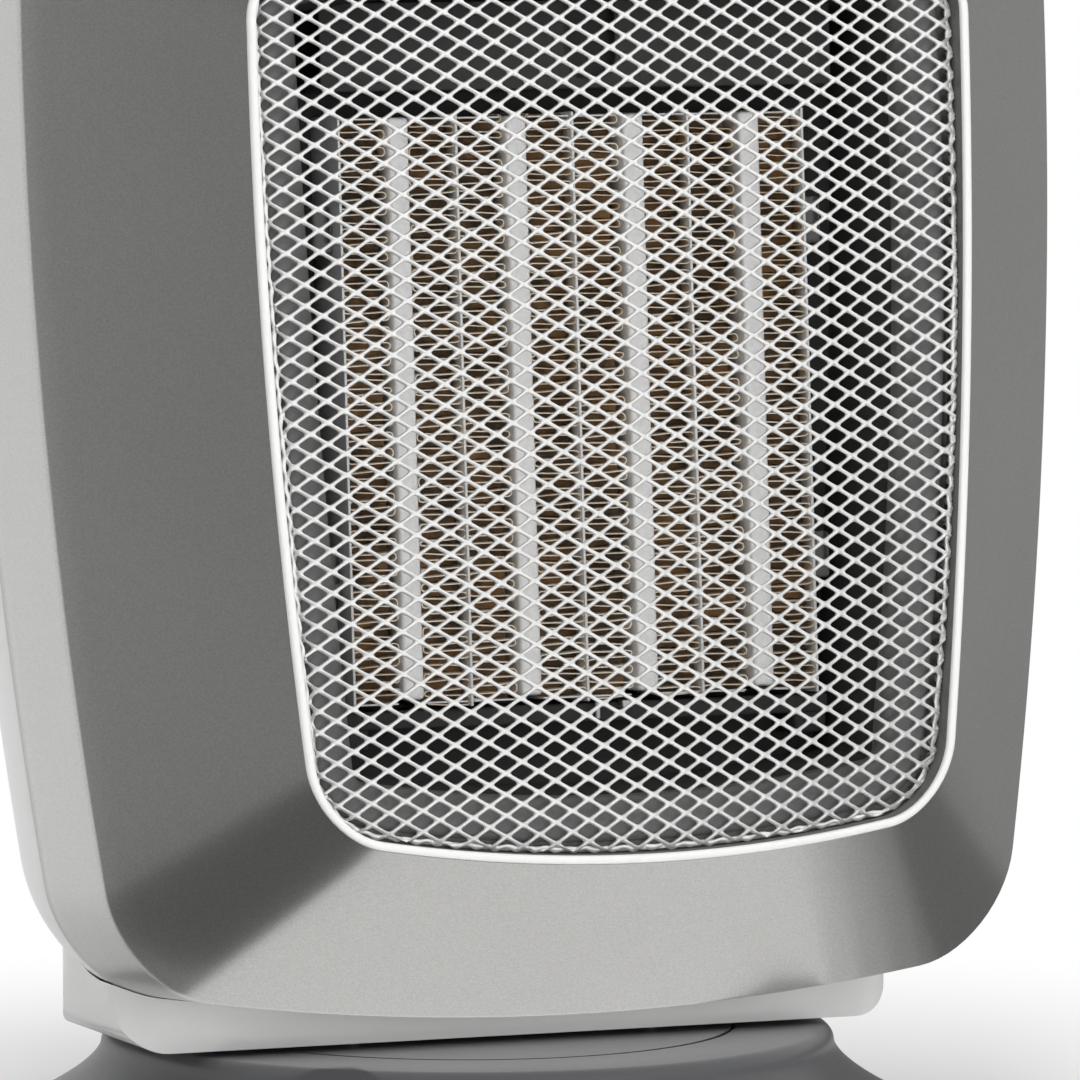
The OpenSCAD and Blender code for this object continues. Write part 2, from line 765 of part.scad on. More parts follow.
neck_h = 46;
collar_r = post_r + 4;
gear_d = gear_m * (ring_teeth + pinion_teeth) / 2;
pinion_tip_r = gear_m * (pinion_teeth / 2 + 1);
pinion_hole_r = pinion_tip_r + swing;
recess_d = 10;
recess_z = base_h - recess_d;
recess_r = gear_d + pinion_tip_r + 1.5;
washer_t = 0.8;
washer_gap = 0.1;
turn_z = base_h - turn_t;
shoulder_r = collar_r + 3;
shoulder_top = turn_z - washer_gap - washer_t;
collar_top = deck_z + collar_h;
post_top = collar_top + fit;
turn_screws = [[-33, -19], [33, -19], [-38, 28], [38, 28]];

// Plan of the neck: small corners at the front, large ones at the rear.
module neck_plan(inset) {
    w = neck_w - 2 * inset;
    front = -neck_front + inset;
    back = neck_back - inset;
    r = neck_r - inset;
    rr = neck_rear_r - inset;
    translate([-w / 2, front + r]) square([w, back - rr - front - r]);
    translate([-w / 2 + r, front]) square([w - 2 * r, neck_r]);
    translate([-w / 2 + rr, back - rr - 1]) square([w - 2 * rr, rr + 1]);
    for (x = [-1, 1]) {
        translate([x * (w / 2 - r), front + r]) circle(r);
        translate([x * (w / 2 - rr), back - rr]) intersection() {
            circle(rr);
            translate([-rr, -1]) square([2 * rr, rr + 1]);
        }
    }
}

// Block on the neck's plan with rounded lower edges at its sides.
module neck_block(inset) {
    w = neck_w - 2 * inset;
    intersection() {
        translate([0, neck_back, deck_z + inset]) rotate([90, 0, 0]) linear_extrude(neck_front + neck_back) {
            translate([-w / 2, neck_r - inset]) square([w, neck_h]);
            translate([-w / 2 + neck_r - inset, 0]) square([w - 2 * neck_r + 2 * inset, neck_h]);
            for (x = [-1, 1]) translate([x * (w / 2 - neck_r + inset), neck_r - inset])
                circle(neck_r - inset);
        }
        translate([0, 0, deck_z]) linear_extrude(neck_h) neck_plan(inset);
    }
}

module neck() {
    color(white) difference() {
        neck_block(0);
        neck_block(wall);
        pod() {
            skin([station(crease_outline(-fit), crease_y), station(crease_outline(-fit), band_y + 2 * fit)]);
            dome_form(2 * fit);
        }
        translate([0, 0, deck_z - 1]) cylinder(r = collar_r + fit, h = wall + 2);
        translate([gear_d, 0, deck_z - 1]) cylinder(r = pinion_hole_r, h = wall + 2);
        for (p = turn_screws) translate([p[0], p[1], deck_z - 1]) cylinder(r = 1.8, h = wall + 2);
    }
}

// Disc that closes the pedestal's recess, with a pad for the neck and a collar round the post.
module turntable() {
    disc_r = recess_r - swing;
    color([0.27, 0.28, 0.28]) difference() {
        union() {
            translate([0, 0, turn_z]) cylinder(r = disc_r, h = turn_t);
            translate([0, 0, base_h]) linear_extrude(deck_gap) intersection() {
                circle(disc_r);
                neck_plan(neck_r);
            }
            translate([0, 0, turn_z]) cylinder(r = collar_r, h = collar_top - turn_z);
        }
        translate([0, 0, turn_z - 1]) cylinder(r = post_r + running, h = collar_top - turn_z + 2);
        translate([gear_d, 0, turn_z - 1]) cylinder(r = pinion_hole_r, h = turn_t + deck_gap + 2);
        for (p = turn_screws) translate([p[0], p[1], turn_z - 1]) cylinder(r = 1.6, h = 10);
    }
}

module turntable_screws() {
    color(steel) for (p = turn_screws) translate([p[0], p[1], turn_z + 0.5]) {
        cylinder(r = 1.5, h = turn_t + deck_gap + wall - 0.5);
        translate([0, 0, turn_t + deck_gap + wall - 0.5]) cylinder(r = 3, h = 2);
    }
}

module retaining_ring() {
    color(steel) translate([0, 0, post_top]) difference() {
        cylinder(r = collar_r - 1, h = 1.6);
        translate([0, 0, -1]) cylinder(r = post_bore_r, h = 4);
    }
}

swing_motor_r = 14;
swing_motor_h = 18;
swing_shaft_r = 2.5;

module swing_motor() {
    color([0.75, 0.75, 0.78]) translate([gear_d, 0, deck_z + wall]) difference() {
        union() {
            cylinder(r = swing_motor_r, h = swing_motor_h);
            translate([-4, -swing_motor_r - 3, 0]) cube([8, 2 * swing_motor_r + 6, 1]);
        }
        translate([0, 0, -1]) cylinder(r = swing_shaft_r + running, h = 11);
    }
}

function involute(r, base) = r <= base ? 0 : sqrt(pow(r / base, 2) - 1) * 180 / PI - acos(base / r);

// One tooth's outline, from its root on one side over its tip to its root on the other.
function tooth(turn, teeth, pressure = 25, steps = 4) =
    let (pitch = gear_m * teeth / 2, base = pitch * cos(pressure),
         root = pitch - 1.25 * gear_m, tip = pitch + gear_m, low = max(root, base),
         half = 90 / teeth - backlash / 4 / pitch * 180 / PI + involute(pitch, base),
         radii = [for (k = [0:steps]) low + (tip - low) * k / steps],
         flank = concat(root < base ? [[root, half]] : [], [for (r = radii) [r, half - involute(r, base)]]))
    concat([for (p = flank) [p[0] * cos(turn - p[1]), p[0] * sin(turn - p[1])]],
           [for (k = [len(flank) - 1:-1:0]) let (p = flank[k])
               [p[0] * cos(turn + p[1]), p[0] * sin(turn + p[1])]]);

module gear(teeth, start, h) {
    linear_extrude(h) polygon([for (i = [0:teeth - 1]) each tooth(start + 360 * i / teeth, teeth)]);
}

pinion_z = recess_z + 1;
pinion_h = gear_h - 1;

module drive_pinion() {
    seat_z = deck_z + wall;
    color([0.9, 0.88, 0.8]) translate([gear_d, 0, pinion_z]) {
        gear(pinion_teeth, 180 + 180 / pinion_teeth, pinion_h);
        cylinder(r = 5, h = seat_z - 0.4 - pinion_z);
        cylinder(r = swing_shaft_r, h = seat_z + 8 - pinion_z);
    }
}

module ring_gear() {
    color([0.9, 0.88, 0.8]) translate([0, 0, recess_z]) difference() {
        gear(ring_teeth, 0, gear_h);
        translate([0, 0, -1]) cylinder(r = shoulder_r + fit, h = gear_h + 2);
    }
}

module glide_washer() {
    color([0.85, 0.85, 0.8]) translate([0, 0, shoulder_top]) difference() {
        cylinder(r = shoulder_r, h = washer_t);
        translate([0, 0, -1]) cylinder(r = post_r + fit, h = washer_t + 2);
    }
}

module terminal_block() {
    color([0.85, 0.84, 0.78]) translate([-58, -9, deck_z + wall]) difference() {
        cube([22, 18, 13]);
        for (k = [0:2]) translate([4 + 7 * k, 9, 6]) cylinder(r = 2, h = 10);
    }
}

// ---------------------------------------------------------------- controls

spindle_r = 3;
switch_w = 2 * knob_r - 2;
switch_d = 0.72 * switch_w;
switch_h = knob_h + 3;
knob_gap = 0.5;

module control_panel() {
    color(charcoal) pod() difference() {
        block(panel_w, panel_front, panel_d, panel_z - panel_t, panel_t);
        for (x = [-knob_x, knob_x]) translate([x, control_y, panel_z - 5])
            cylinder(r = spindle_r + fit, h = 10);
        translate([0, control_y, panel_z - 5]) cylinder(r = button_r + fit, h = 10);
        translate([0, lamp_y, panel_z - 5]) cylinder(r = lens_r + fit / 2, h = 10);
    }
}

// Rotary switch body under the panel, with a blind bore for the knob's spindle.
module rotary_body(x, tint) {
    color(tint) pod() translate([x, control_y, panel_z - panel_t - switch_h]) difference() {
        union() {
            translate([-switch_w / 2, -switch_d / 2, 0]) cube([switch_w, switch_d, switch_h - 2]);
            cylinder(r = 7, h = switch_h);
        }
        translate([0, 0, switch_h - 10]) cylinder(r = spindle_r + running, h = 11);
    }
}

module selector_switch() { rotary_body(-knob_x, [0.88, 0.86, 0.8]); }
module thermostat() { rotary_body(knob_x, [0.55, 0.5, 0.42]); }

flute_count = 20;

// Fluted knob with a raised pointer bar and its spindle.
module knob(x) {
    body_r = knob_r - 2;
    bevel = 1.5;
    color([0.9, 0.9, 0.9]) pod() translate([x, control_y, panel_z + knob_gap]) {
        difference() {
            union() {
                cylinder(r = knob_r, h = 2);
                translate([0, 0, 2]) cylinder(r = body_r, h = knob_h - 2 - bevel);
            }
            for (k = [0:flute_count - 1]) rotate(360 * (k + 0.5) / flute_count)
                translate([body_r + 0.6, 0, 2.5]) cylinder(r = 1.4, h = knob_h);
        }
        translate([0, 0, knob_h - bevel]) cylinder(r1 = body_r - 1, r2 = body_r - 1 - bevel, h = bevel);
        translate([-1.5, 0, knob_h - bevel]) cube([3, body_r - 2.5, bevel + 1]);
        translate([0, 0, -knob_gap - panel_t - 8]) cylinder(r = spindle_r, h = 9 + panel_t + knob_gap);
    }
}

module selector_knob() { knob(-knob_x); }
module thermostat_knob() { knob(knob_x); }

lens_r = 1.8;
lamp_y = control_y + button_r + 3.4;
button_rise = 3.5;
button_foot = panel_t + 1;
stem_r = 2.5;
stem_l = 7;

module swing_switch() {
    color([0.2, 0.2, 0.22]) pod() translate([0, control_y, panel_z - panel_t]) difference() {
        translate([-10, -button_r - 1.2, -16]) cube([20, 2 * button_r + 2.4, 16]);
        translate([0, 0, -1 - button_travel - 1]) cylinder(r = button_r + swing, h = 10);
        translate([0, 0, -1 - stem_l - button_travel - 1]) cylinder(r = stem_r + running, h = 20);
    }
}

module swing_button() {
    color([0.9, 0.9, 0.9]) pod() translate([0, control_y, panel_z - button_foot]) {
        cylinder(r = button_r, h = button_foot + button_rise - 1);
        translate([0, 0, button_foot + button_rise - 1]) cylinder(r1 = button_r, r2 = button_r - 1, h = 1);
        translate([0, 0, -stem_l]) cylinder(r = stem_r, h = stem_l + 1);
    }
}

module power_lamp() {
    color([0.95, 0.75, 0.6]) pod() translate([0, lamp_y, panel_z - panel_t - 9])
        cylinder(r = lens_r - 0.2, h = 8.8);
}

module lamp_lens() {
    color([0.9, 0.25, 0.1]) pod() translate([0, lamp_y, panel_z - panel_t])
        union() {
            cylinder(r = lens_r, h = panel_t);
            translate([0, 0, panel_t]) cylinder(r1 = lens_r, r2 = lens_r - 0.8, h = 0.8);
        }
}

// ---------------------------------------------------------------- pedestal

plate_top = foot_gap + base_wall;
lip_z = 8;
edge_r = 3;
flare_steps = 8;
grommet_r = cord_bore_r + 2.6;
grommet_z = 13;
grommet_l = 14;
grommet_end = base_top_r + (base_r - base_top_r) * pow((base_h - edge_r - grommet_z) / (base_h - edge_r - lip_z), 1.6) + 1;
plunger_y = -(recess_r + (base_r - recess_r) / 4);
boss_r = 5;
boss_at = recess_r + 0.355 * (base_r - recess_r);
boss_turns = [15, 165, 195, 345];
foot_h = foot_gap + 1;
base_screw_l = 0.44 * base_h;
foot_at = base_r - 2 * foot_r;

function flare_points(inset) = [for (k = [0:flare_steps])
    let (t = k / flare_steps, top = base_h - edge_r)
    [base_top_r - inset + (base_r - base_top_r) * pow(t, 1.6), top + (lip_z - top) * t]];
function edge_points(inset) = [for (k = [0:4]) let (a = 90 - 90 * k / 4, r = edge_r - inset)
    [base_top_r - edge_r + r * cos(a), base_h - edge_r + r * sin(a)]];
function outer_profile(inset) = concat(edge_points(inset), [for (k = [1:flare_steps]) flare_points(inset)[k]]);

module base_shell() {
    inner = outer_profile(base_wall);
    color([0.27, 0.28, 0.28]) difference() {
        union() {
            rotate_extrude() polygon(concat(
                [[post_bore_r, recess_z - base_wall], [post_bore_r, post_top], [post_r, post_top],
                 [post_r, shoulder_top], [shoulder_r, shoulder_top], [shoulder_r, recess_z],
                 [recess_r, recess_z], [recess_r, base_h]],
                outer_profile(0),
                [[base_r, foot_gap], [base_r - base_wall, foot_gap]],
                [for (k = [len(inner) - 1:-1:0]) inner[k]],
                [[recess_r + base_wall, base_h - base_wall],
                 [recess_r + base_wall, recess_z - base_wall]]));
            for (turn = boss_turns) rotate(turn) translate([boss_at, 0, plate_top])
                cylinder(r = boss_r, h = base_h - base_wall - plate_top + 1);
            // Socket for the cord grommet
            intersection() {
                translate([0, 0, grommet_z]) rod(grommet_end - grommet_l, 2 * grommet_l, grommet_r + 2.5);
                rotate_extrude() polygon(concat([[0, plate_top], [0, base_h - base_wall / 2]],
                    outer_profile(base_wall / 2), [[base_r - base_wall / 2, plate_top]]));
            }
        }
        translate([0, 0, grommet_z]) rod(grommet_end - 2 * grommet_l, 3 * grommet_l, grommet_r + fit);
        for (turn = boss_turns) rotate(turn) translate([boss_at, 0, plate_top - 1])
            cylinder(r = 1.6, h = base_screw_l + 1);
    }
}

module base_plate() {
    guide_h = 3.5;
    color(charcoal) difference() {
        union() {
            translate([0, 0, foot_gap]) cylinder(r = base_r - base_wall - fit, h = base_wall);
            translate([0, plunger_y, plate_top - eps]) cylinder(r = plunger_r + 2.5, h = guide_h);
        }
        translate([0, plunger_y, foot_gap - 1]) cylinder(r = plunger_r + fit, h = 20);
        for (turn = [45:90:315]) rotate(turn) translate([foot_at, 0, foot_gap - 1])
            cylinder(r = foot_r + fit, h = 1 + foot_h - foot_gap);
        for (turn = boss_turns) rotate(turn) translate([boss_at, 0, foot_gap - 1]) {
            cylinder(r = 1.8, h = 10);
            cylinder(r = 3.6, h = 2.4);
        }
    }
}

module base_weight() {
    color([0.45, 0.45, 0.47]) translate([0, 0, plate_top]) difference() {
        cylinder(r = recess_r, h = recess_z - base_wall - plate_top - fit);
        translate([0, 0, -1]) cylinder(r = shoulder_r, h = 20);
    }
}

module rubber_feet() {
    color([0.12, 0.12, 0.12]) for (turn = [45:90:315]) rotate(turn) translate([foot_at, 0, 0]) {
        cylinder(r1 = foot_r - 0.8, r2 = foot_r, h = 0.8);
        translate([0, 0, 0.8]) cylinder(r = foot_r, h = foot_h - 0.8);
    }
}

module base_screws() {
    color(steel) for (turn = boss_turns) rotate(turn) translate([boss_at, 0, 0]) {
        translate([0, 0, foot_gap]) cylinder(r = 3.3, h = 1.4);
        translate([0, 0, foot_gap]) cylinder(r = 1.5, h = base_screw_l);
    }
}

module cord_grommet() {
    color([0.1, 0.1, 0.1]) translate([0, 0, grommet_z]) difference() {
        rod(grommet_end - grommet_l, grommet_l, grommet_r);
        rod(grommet_end - grommet_l - 1, grommet_l + 2, cord_bore_r);
    }
}

tip_switch_h = 7;
tip_flange_h = 2;
tip_guide_top = plate_top + 3.5;

module tip_switch() {
    color([0.15, 0.15, 0.16]) translate([0, plunger_y, base_h - base_wall - tip_switch_h]) difference() {
        translate([-10, -4.5, 0]) cube([20, 9, tip_switch_h]);
        translate([0, 0, -1]) cylinder(r = 1.5 + running, h = tip_switch_h - 1);
    }
}

module tip_plunger() {
    flange_z = tip_guide_top + plunger_travel + 0.3;
    color([0.85, 0.2, 0.15]) translate([0, plunger_y, 0]) {
        cylinder(r1 = plunger_r - 1, r2 = plunger_r, h = 1);
        translate([0, 0, 1]) cylinder(r = plunger_r, h = flange_z);
        translate([0, 0, flange_z]) cylinder(r = plunger_r + 1, h = tip_flange_h);
        translate([0, 0, flange_z]) cylinder(r = 1.5, h = 7);
    }
}

bezel();
trim_ring();
grille_mesh();
mesh_retainer();
heater_frame();
ptc_tubes();
fin_stacks();
core_plates();
core_end_caps();
core_terminals();
thermal_cutout();
thermal_fuse();
fan_shroud();
motor_stator();
motor_coil();
front_bracket();
rear_bracket();
motor_bushes();
motor_screws();
fan_impeller();
motor_rotor();
motor_shaft();
rear_housing();
intake_grille();
dust_filter();
handle_cup();
housing_screws();
neck();
turntable();
turntable_screws();
retaining_ring();
swing_motor();
drive_pinion();
terminal_block();
control_panel();
selector_switch();
thermostat();
swing_switch();
power_lamp();
lamp_lens();
selector_knob();
thermostat_knob();
swing_button();
base_shell();
base_plate();
base_weight();
ring_gear();
glide_washer();
rubber_feet();
base_screws();
cord_grommet();
tip_switch();
tip_plunger();
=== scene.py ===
"""Looks of a leaning ceramic space heater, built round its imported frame.

Sizes held in the dataclasses are in millimetres, in the head's own upright frame
(X across, Y from the outlet towards the back, Z up) unless a name says otherwise.
Finished meshes are in metres, in the frame's own axes, with their objects at the origin.
"""

import json
import logging
import math
from dataclasses import dataclass, field
from enum import Enum
from typing import Callable, ClassVar, Iterable, Optional, Sequence

import bmesh
import bpy
import numpy as np
from mathutils import Matrix, Vector

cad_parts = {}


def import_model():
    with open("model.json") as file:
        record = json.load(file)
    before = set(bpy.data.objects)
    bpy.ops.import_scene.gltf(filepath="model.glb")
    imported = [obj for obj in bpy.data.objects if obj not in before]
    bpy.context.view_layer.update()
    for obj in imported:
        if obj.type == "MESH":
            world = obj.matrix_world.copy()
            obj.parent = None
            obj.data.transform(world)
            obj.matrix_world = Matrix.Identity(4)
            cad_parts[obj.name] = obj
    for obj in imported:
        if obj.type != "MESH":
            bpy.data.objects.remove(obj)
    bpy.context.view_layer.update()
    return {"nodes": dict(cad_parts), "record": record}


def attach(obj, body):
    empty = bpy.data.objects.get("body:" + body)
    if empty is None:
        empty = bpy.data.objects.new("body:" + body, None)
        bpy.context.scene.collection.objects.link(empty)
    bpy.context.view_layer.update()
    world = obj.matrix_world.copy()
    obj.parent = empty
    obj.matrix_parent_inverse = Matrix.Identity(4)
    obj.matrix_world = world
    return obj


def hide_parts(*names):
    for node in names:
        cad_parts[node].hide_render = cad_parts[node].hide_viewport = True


LOG = logging.getLogger("heater")
MM = 0.001
BASE_PLACE = Matrix.Scale(MM, 4)
Ring = np.ndarray
Piece = bpy.types.Object
Point = Sequence[float]
Colour = tuple[float, float, float]


# ---------------------------------------------------------------- outlines and placing


@dataclass(frozen=True)
class Shield:
    """Rounded outline whose sides swell towards the shoulders and whose ends bow outwards."""

    half_w: float
    half_h: float
    side_r: float
    end_r: float
    corner_r: float
    shoulder: float = 75.0

    def points(self, inset: float = 0.0, per_corner: int = 14, per_side: int = 24) -> Ring:
        """Walks once round the outline.

        Args:
            inset: How far inside the outline the walk runs, negative for outside.
            per_corner: Steps in each rounded corner.
            per_side: Steps along each straight side.

        Returns:
            Points as rows of X and Z.
        """
        w, h = self.half_w - inset, self.half_h - inset
        r = max(self.corner_r - inset, 1.0)
        corners = [arc((sx * (w - r), sz * (h - r)), r, 90 * i, 90 * i + 90, per_corner)
                   for i, (sx, sz) in enumerate(((1, 1), (-1, 1), (-1, -1), (1, -1)))]
        walk: list[Point] = []
        for corner, after in zip(corners, corners[1:] + corners[:1]):
            start, end = np.array(corner[-1]), np.array(after[0])
            walk += corner + [tuple(start + (end - start) * k / per_side) for k in range(1, per_side)]
        p = np.array(walk)
        return np.stack([p[:, 0] * (1 - (p[:, 1] - self.shoulder) ** 2 / (2 * self.side_r * w)),
                         p[:, 1] * (1 - p[:, 0] ** 2 / (2 * self.end_r * h))], axis=1)


@dataclass(frozen=True)
class Head:
    """Where the leaning head stands, and the outlines that its mouldings share."""

    deck: float = 26.0
    lean: float = 4.3
    grille_z: float = 130.5
    ring_y: float = -96.0
    crease_y: float = -56.0
    band_y: float = -21.0
    dome_y: float = 58.0
    crown_r: float = 1030.0
    core_z: float = 126.5
    core_y: float = -70.0
    fit: float = 0.2
    opening: Shield = Shield(77.7, 95.0, 1550.0, 410.0, 15.6)
    crease: Shield = Shield(112.3, 127.0, 1300.0, 680.0, 21.5)

    def matrix(self) -> Matrix:
        """Carries head millimetres to frame metres."""
        return (Matrix.Translation((0, 0, self.deck * MM)) @ Matrix.Rotation(math.radians(-self.lean), 4, "X")
                @ Matrix.Scale(MM, 4))

    def station(self, outline: Ring, y: float, crown: float = 0.0) -> Ring:
        """Stands an outline upright at a depth.

        Args:
            outline: Points as rows of X and Z.
            y: Depth of the outline's middle.
            crown: Radius by which its sides bend back, or 0 for flat.

        Returns:
            Points as rows of X, Y and Z.
        """
        back = outline[:, 0] ** 2 / (2 * crown) if crown else np.zeros(len(outline))
        return np.stack([outline[:, 0], y + back, outline[:, 1] + self.grille_z], axis=1)

    def opened(self, steps: Iterable[Point], crown: float = 0.0) -> list[Ring]:
        """Stands the opening's outline at several insets.

        Args:
            steps: Inset and depth behind the ring's plane of each station.
            crown: Radius by which the sides bend back, or 0 for flat.

        Returns:
            The stations.
        """
        return [self.station(self.opening.points(inset), self.ring_y + y, crown) for inset, y in steps]

    def creased(self, steps: Iterable[Point]) -> list[Ring]:
        """Stands the crease's outline at several insets.

        Args:
            steps: Inset and depth of each station.

        Returns:
            The stations.
        """
        return [self.station(self.crease.points(inset), y) for inset, y in steps]


HEAD = Head()


def arc(centre: Point, r: float, first: float, last: float, steps: int) -> list[Point]:
    """Walks along part of a circle.

    Args:
        centre: Its middle.
        r: Its radius.
        first: Angle of the first point in degrees.
        last: Angle of the last point.
        steps: Gaps between points.

    Returns:
        The points.
    """
    turns = [math.radians(first + (last - first) * k / steps) for k in range(steps + 1)]
    return [(centre[0] + r * math.cos(a), centre[1] + r * math.sin(a)) for a in turns]


def bend_between(a: Ring, corner: Ring, b: Ring, steps: int) -> list[Ring]:
    """Rounds the edge between two surfaces with a row of stations.

    Args:
        a: Station on the first surface.
        corner: Station on the sharp edge itself.
        b: Station on the second surface.
        steps: Gaps in the rounding.

    Returns:
        The stations from a to b.
    """
    ts = [k / steps for k in range(steps + 1)]
    return [(1 - t) ** 2 * a + 2 * t * (1 - t) * corner + t ** 2 * b for t in ts]


# ---------------------------------------------------------------- bench: modelling steps


class Ends(Enum):
    """What becomes of a loft's first and last station."""

    JOINED = "the last joins the first"
    CAPPED = "both get a face"
    OPEN = "both stay open"


class Bench:
    """Modelling operations, each of which starts from nothing selected."""

    @staticmethod
    def clear() -> None:
        """Leaves edit mode and deselects everything."""
        if bpy.context.object and bpy.context.object.mode != "OBJECT":
            bpy.ops.object.mode_set(mode="OBJECT")
        bpy.ops.object.select_all(action="DESELECT")

    @staticmethod
    def pick(piece: Piece) -> None:
        """Makes a piece the only selected and the active one."""
        Bench.clear()
        piece.select_set(True)
        bpy.context.view_layer.objects.active = piece

    @staticmethod
    def adopt(name: str) -> Piece:
        """Names the primitive that was just added."""
        piece = bpy.context.active_object
        piece.name = piece.data.name = name
        return piece

    @staticmethod
    def edit(kind: str = "VERT", action: str = "SELECT") -> bmesh.types.BMesh:
        """Enters edit mode on the active piece.

        Args:
            kind: What is picked there: VERT or FACE.
            action: SELECT to start with everything picked, DESELECT with nothing.

        Returns:
            The mesh being edited.
        """
        bpy.ops.object.mode_set(mode="EDIT")
        bpy.ops.mesh.select_mode(type=kind)
        bpy.ops.mesh.select_all(action=action)
        return bmesh.from_edit_mesh(bpy.context.object.data)

    @staticmethod
    def close(weld: float = 1e-4) -> None:
        """Welds points closer than a gap, turns the faces outwards and leaves edit mode."""
        bpy.ops.mesh.select_all(action="SELECT")
        bpy.ops.mesh.remove_doubles(threshold=weld)
        bpy.ops.mesh.normals_make_consistent(inside=False)
        bpy.ops.object.mode_set(mode="OBJECT")

    @staticmethod
    def loft(name: str, rings: Sequence[Ring], ends: Ends = Ends.JOINED) -> Piece:
        """Extrudes a circle from station to station.

        Args:
            name: Name of the piece.
            rings: Stations of equal length, each a closed walk.
            ends: What becomes of the first and last station.

        Returns:
            The lofted piece, in the units of its stations.
        """
        Bench.clear()
        bpy.ops.mesh.primitive_circle_add(vertices=len(rings[0]), radius=1.0)
        piece = Bench.adopt(name)
        body = Bench.edit()
        spot = body.verts.layers.int.new("spot")
        for i, v in enumerate(body.verts):
            v[spot] = i
            v.co = rings[0][i]
            v.select_set(True)
        capped = ends is Ends.CAPPED
        if capped:
            bpy.ops.mesh.select_all(action="SELECT")
            bpy.ops.mesh.edge_face_add()
            bpy.ops.mesh.select_all(action="SELECT")
        walk = list(rings[1:]) + ([rings[0]] if ends is Ends.JOINED else [])
        for ring in walk:
            if capped and ring is walk[0]:
                bpy.ops.mesh.extrude_edges_move(MESH_OT_extrude_edges_indiv={}, TRANSFORM_OT_translate={})
            else:
                bpy.ops.mesh.extrude_edges_move(TRANSFORM_OT_translate={"value": (0, 0, 0)})
            body = bmesh.from_edit_mesh(piece.data)
            spot = body.verts.layers.int["spot"]
            for v in body.verts:
                if v.select:
                    v.co = ring[v[spot]]
        if capped:
            bpy.ops.mesh.edge_face_add()
        Bench.close()
        return piece

    @staticmethod
    def turn(name: str, profile: Sequence[Point], steps: int = 96, centre: Point = (0.0, 0.0)) -> Piece:
        """Spins a profile round an upright axis, as on a lathe.

        Args:
            name: Name of the piece.
            profile: Radius and height of each point.
            steps: Steps of the full turn.
            centre: X and Y of the axis.

        Returns:
            The turned piece.
        """
        Bench.clear()
        bpy.ops.mesh.primitive_plane_add(size=1.0)
        piece = Bench.adopt(name)
        Bench.edit()
        bpy.ops.mesh.merge(type="CENTER")
        for v in bmesh.from_edit_mesh(piece.data).verts:
            v.co = (centre[0] + profile[0][0], centre[1], profile[0][1])
        for (r0, z0), (r1, z1) in zip(profile, profile[1:]):
            bpy.ops.mesh.extrude_vertices_move(TRANSFORM_OT_translate={"value": (r1 - r0, 0, z1 - z0)})
        bpy.ops.mesh.select_all(action="SELECT")
        bpy.ops.mesh.spin(steps=steps, angle=2 * math.pi, center=(*centre, 0), axis=(0, 0, 1))
        Bench.close()
        return piece

    @staticmethod
    def ribbon(name: str, path: Sequence[Point], front: float, depth: float) -> Piece:
        """Folds a strip that stands along Y.

        Args:
            name: Name of the piece.
            path: X and Z of each fold line.
            front: Y of the strip's front edge.
            depth: Width of the strip along Y.

        Returns:
            The strip, without thickness.
        """
        Bench.clear()
        bpy.ops.mesh.primitive_plane_add(size=1.0)
        piece = Bench.adopt(name)
        for v in Bench.edit().verts:
            v.co = (path[0][0], front + (depth if v.co.y > 0 else 0.0), path[0][1])
        bpy.ops.mesh.remove_doubles(threshold=1e-4)
        for (x0, z0), (x1, z1) in zip(path, path[1:]):
            bpy.ops.mesh.extrude_edges_move(TRANSFORM_OT_translate={"value": (x1 - x0, 0, z1 - z0)})
        bpy.ops.object.mode_set(mode="OBJECT")
        return piece

    @staticmethod
    def block(name: str, low: Point, high: Point, round_mm: float = 0.0, segments: int = 3) -> Piece:
        """Makes a box with rounded edges.

        Args:
            name: Name of the piece.
            low: Lowest corner.
            high: Highest corner.
            round_mm: Radius of its edges.
            segments: Steps of the rounding.

        Returns:
            The box.
        """
        Bench.clear()
        lo, hi = Vector(low), Vector(high)
        bpy.ops.mesh.primitive_cube_add(size=1.0, location=(lo + hi) / 2, scale=hi - lo)
        piece = Bench.adopt(name)
        bpy.ops.object.transform_apply(location=True, rotation=True, scale=True)
        if round_mm:
            bpy.ops.object.mode_set(mode="EDIT")
            bpy.ops.mesh.select_all(action="SELECT")
            bpy.ops.mesh.bevel(offset=round_mm, segments=segments, affect="EDGES")
            bpy.ops.object.mode_set(mode="OBJECT")
        return piece

    @staticmethod
    def rod(name: str, start: Point, radius: float, length: float, sides: int = 48,
            along: Point = (0, 0, 1)) -> Piece:
        """Makes a short round bar.

        Args:
            name: Name of the piece.
            start: Centre of its first end.
            radius: Its radius.
            length: Its length.
            sides: Facets round it.
            along: The way it runs.

        Returns:
            The bar.
        """
        Bench.clear()
        axis = Vector(along)
        bpy.ops.mesh.primitive_cylinder_add(vertices=sides, radius=radius, depth=length,
                                            rotation=axis.to_track_quat("Z", "Y").to_euler(),
                                            location=Vector(start) + axis * length / 2)
        piece = Bench.adopt(name)
        bpy.ops.object.transform_apply(location=True, rotation=True, scale=True)
        return piece

    @staticmethod
    def select(piece: Piece, test: Callable[[Vector], bool]) -> None:
        """Enters edit mode with some faces selected.

        Args:
            piece: The mesh to look at.
            test: Takes a face's normal.
        """
        Bench.pick(piece)
        for face in Bench.edit("FACE", "DESELECT").faces:
            if test(face.normal):
                face.select_set(True)
        bmesh.update_edit_mesh(piece.data)

    @staticmethod
    def apply(piece: Piece, kind: str, **values: object) -> None:
        """Adds one modifier, sets it and applies it.

        Args:
            piece: The mesh to change.
            kind: The modifier's type.
            **values: Its settings.
        """
        Bench.pick(piece)
        tool = piece.modifiers.new(kind.lower(), kind)
        for key, value in values.items():
            setattr(tool, key, value)
        bpy.ops.object.modifier_apply(modifier=tool.name)

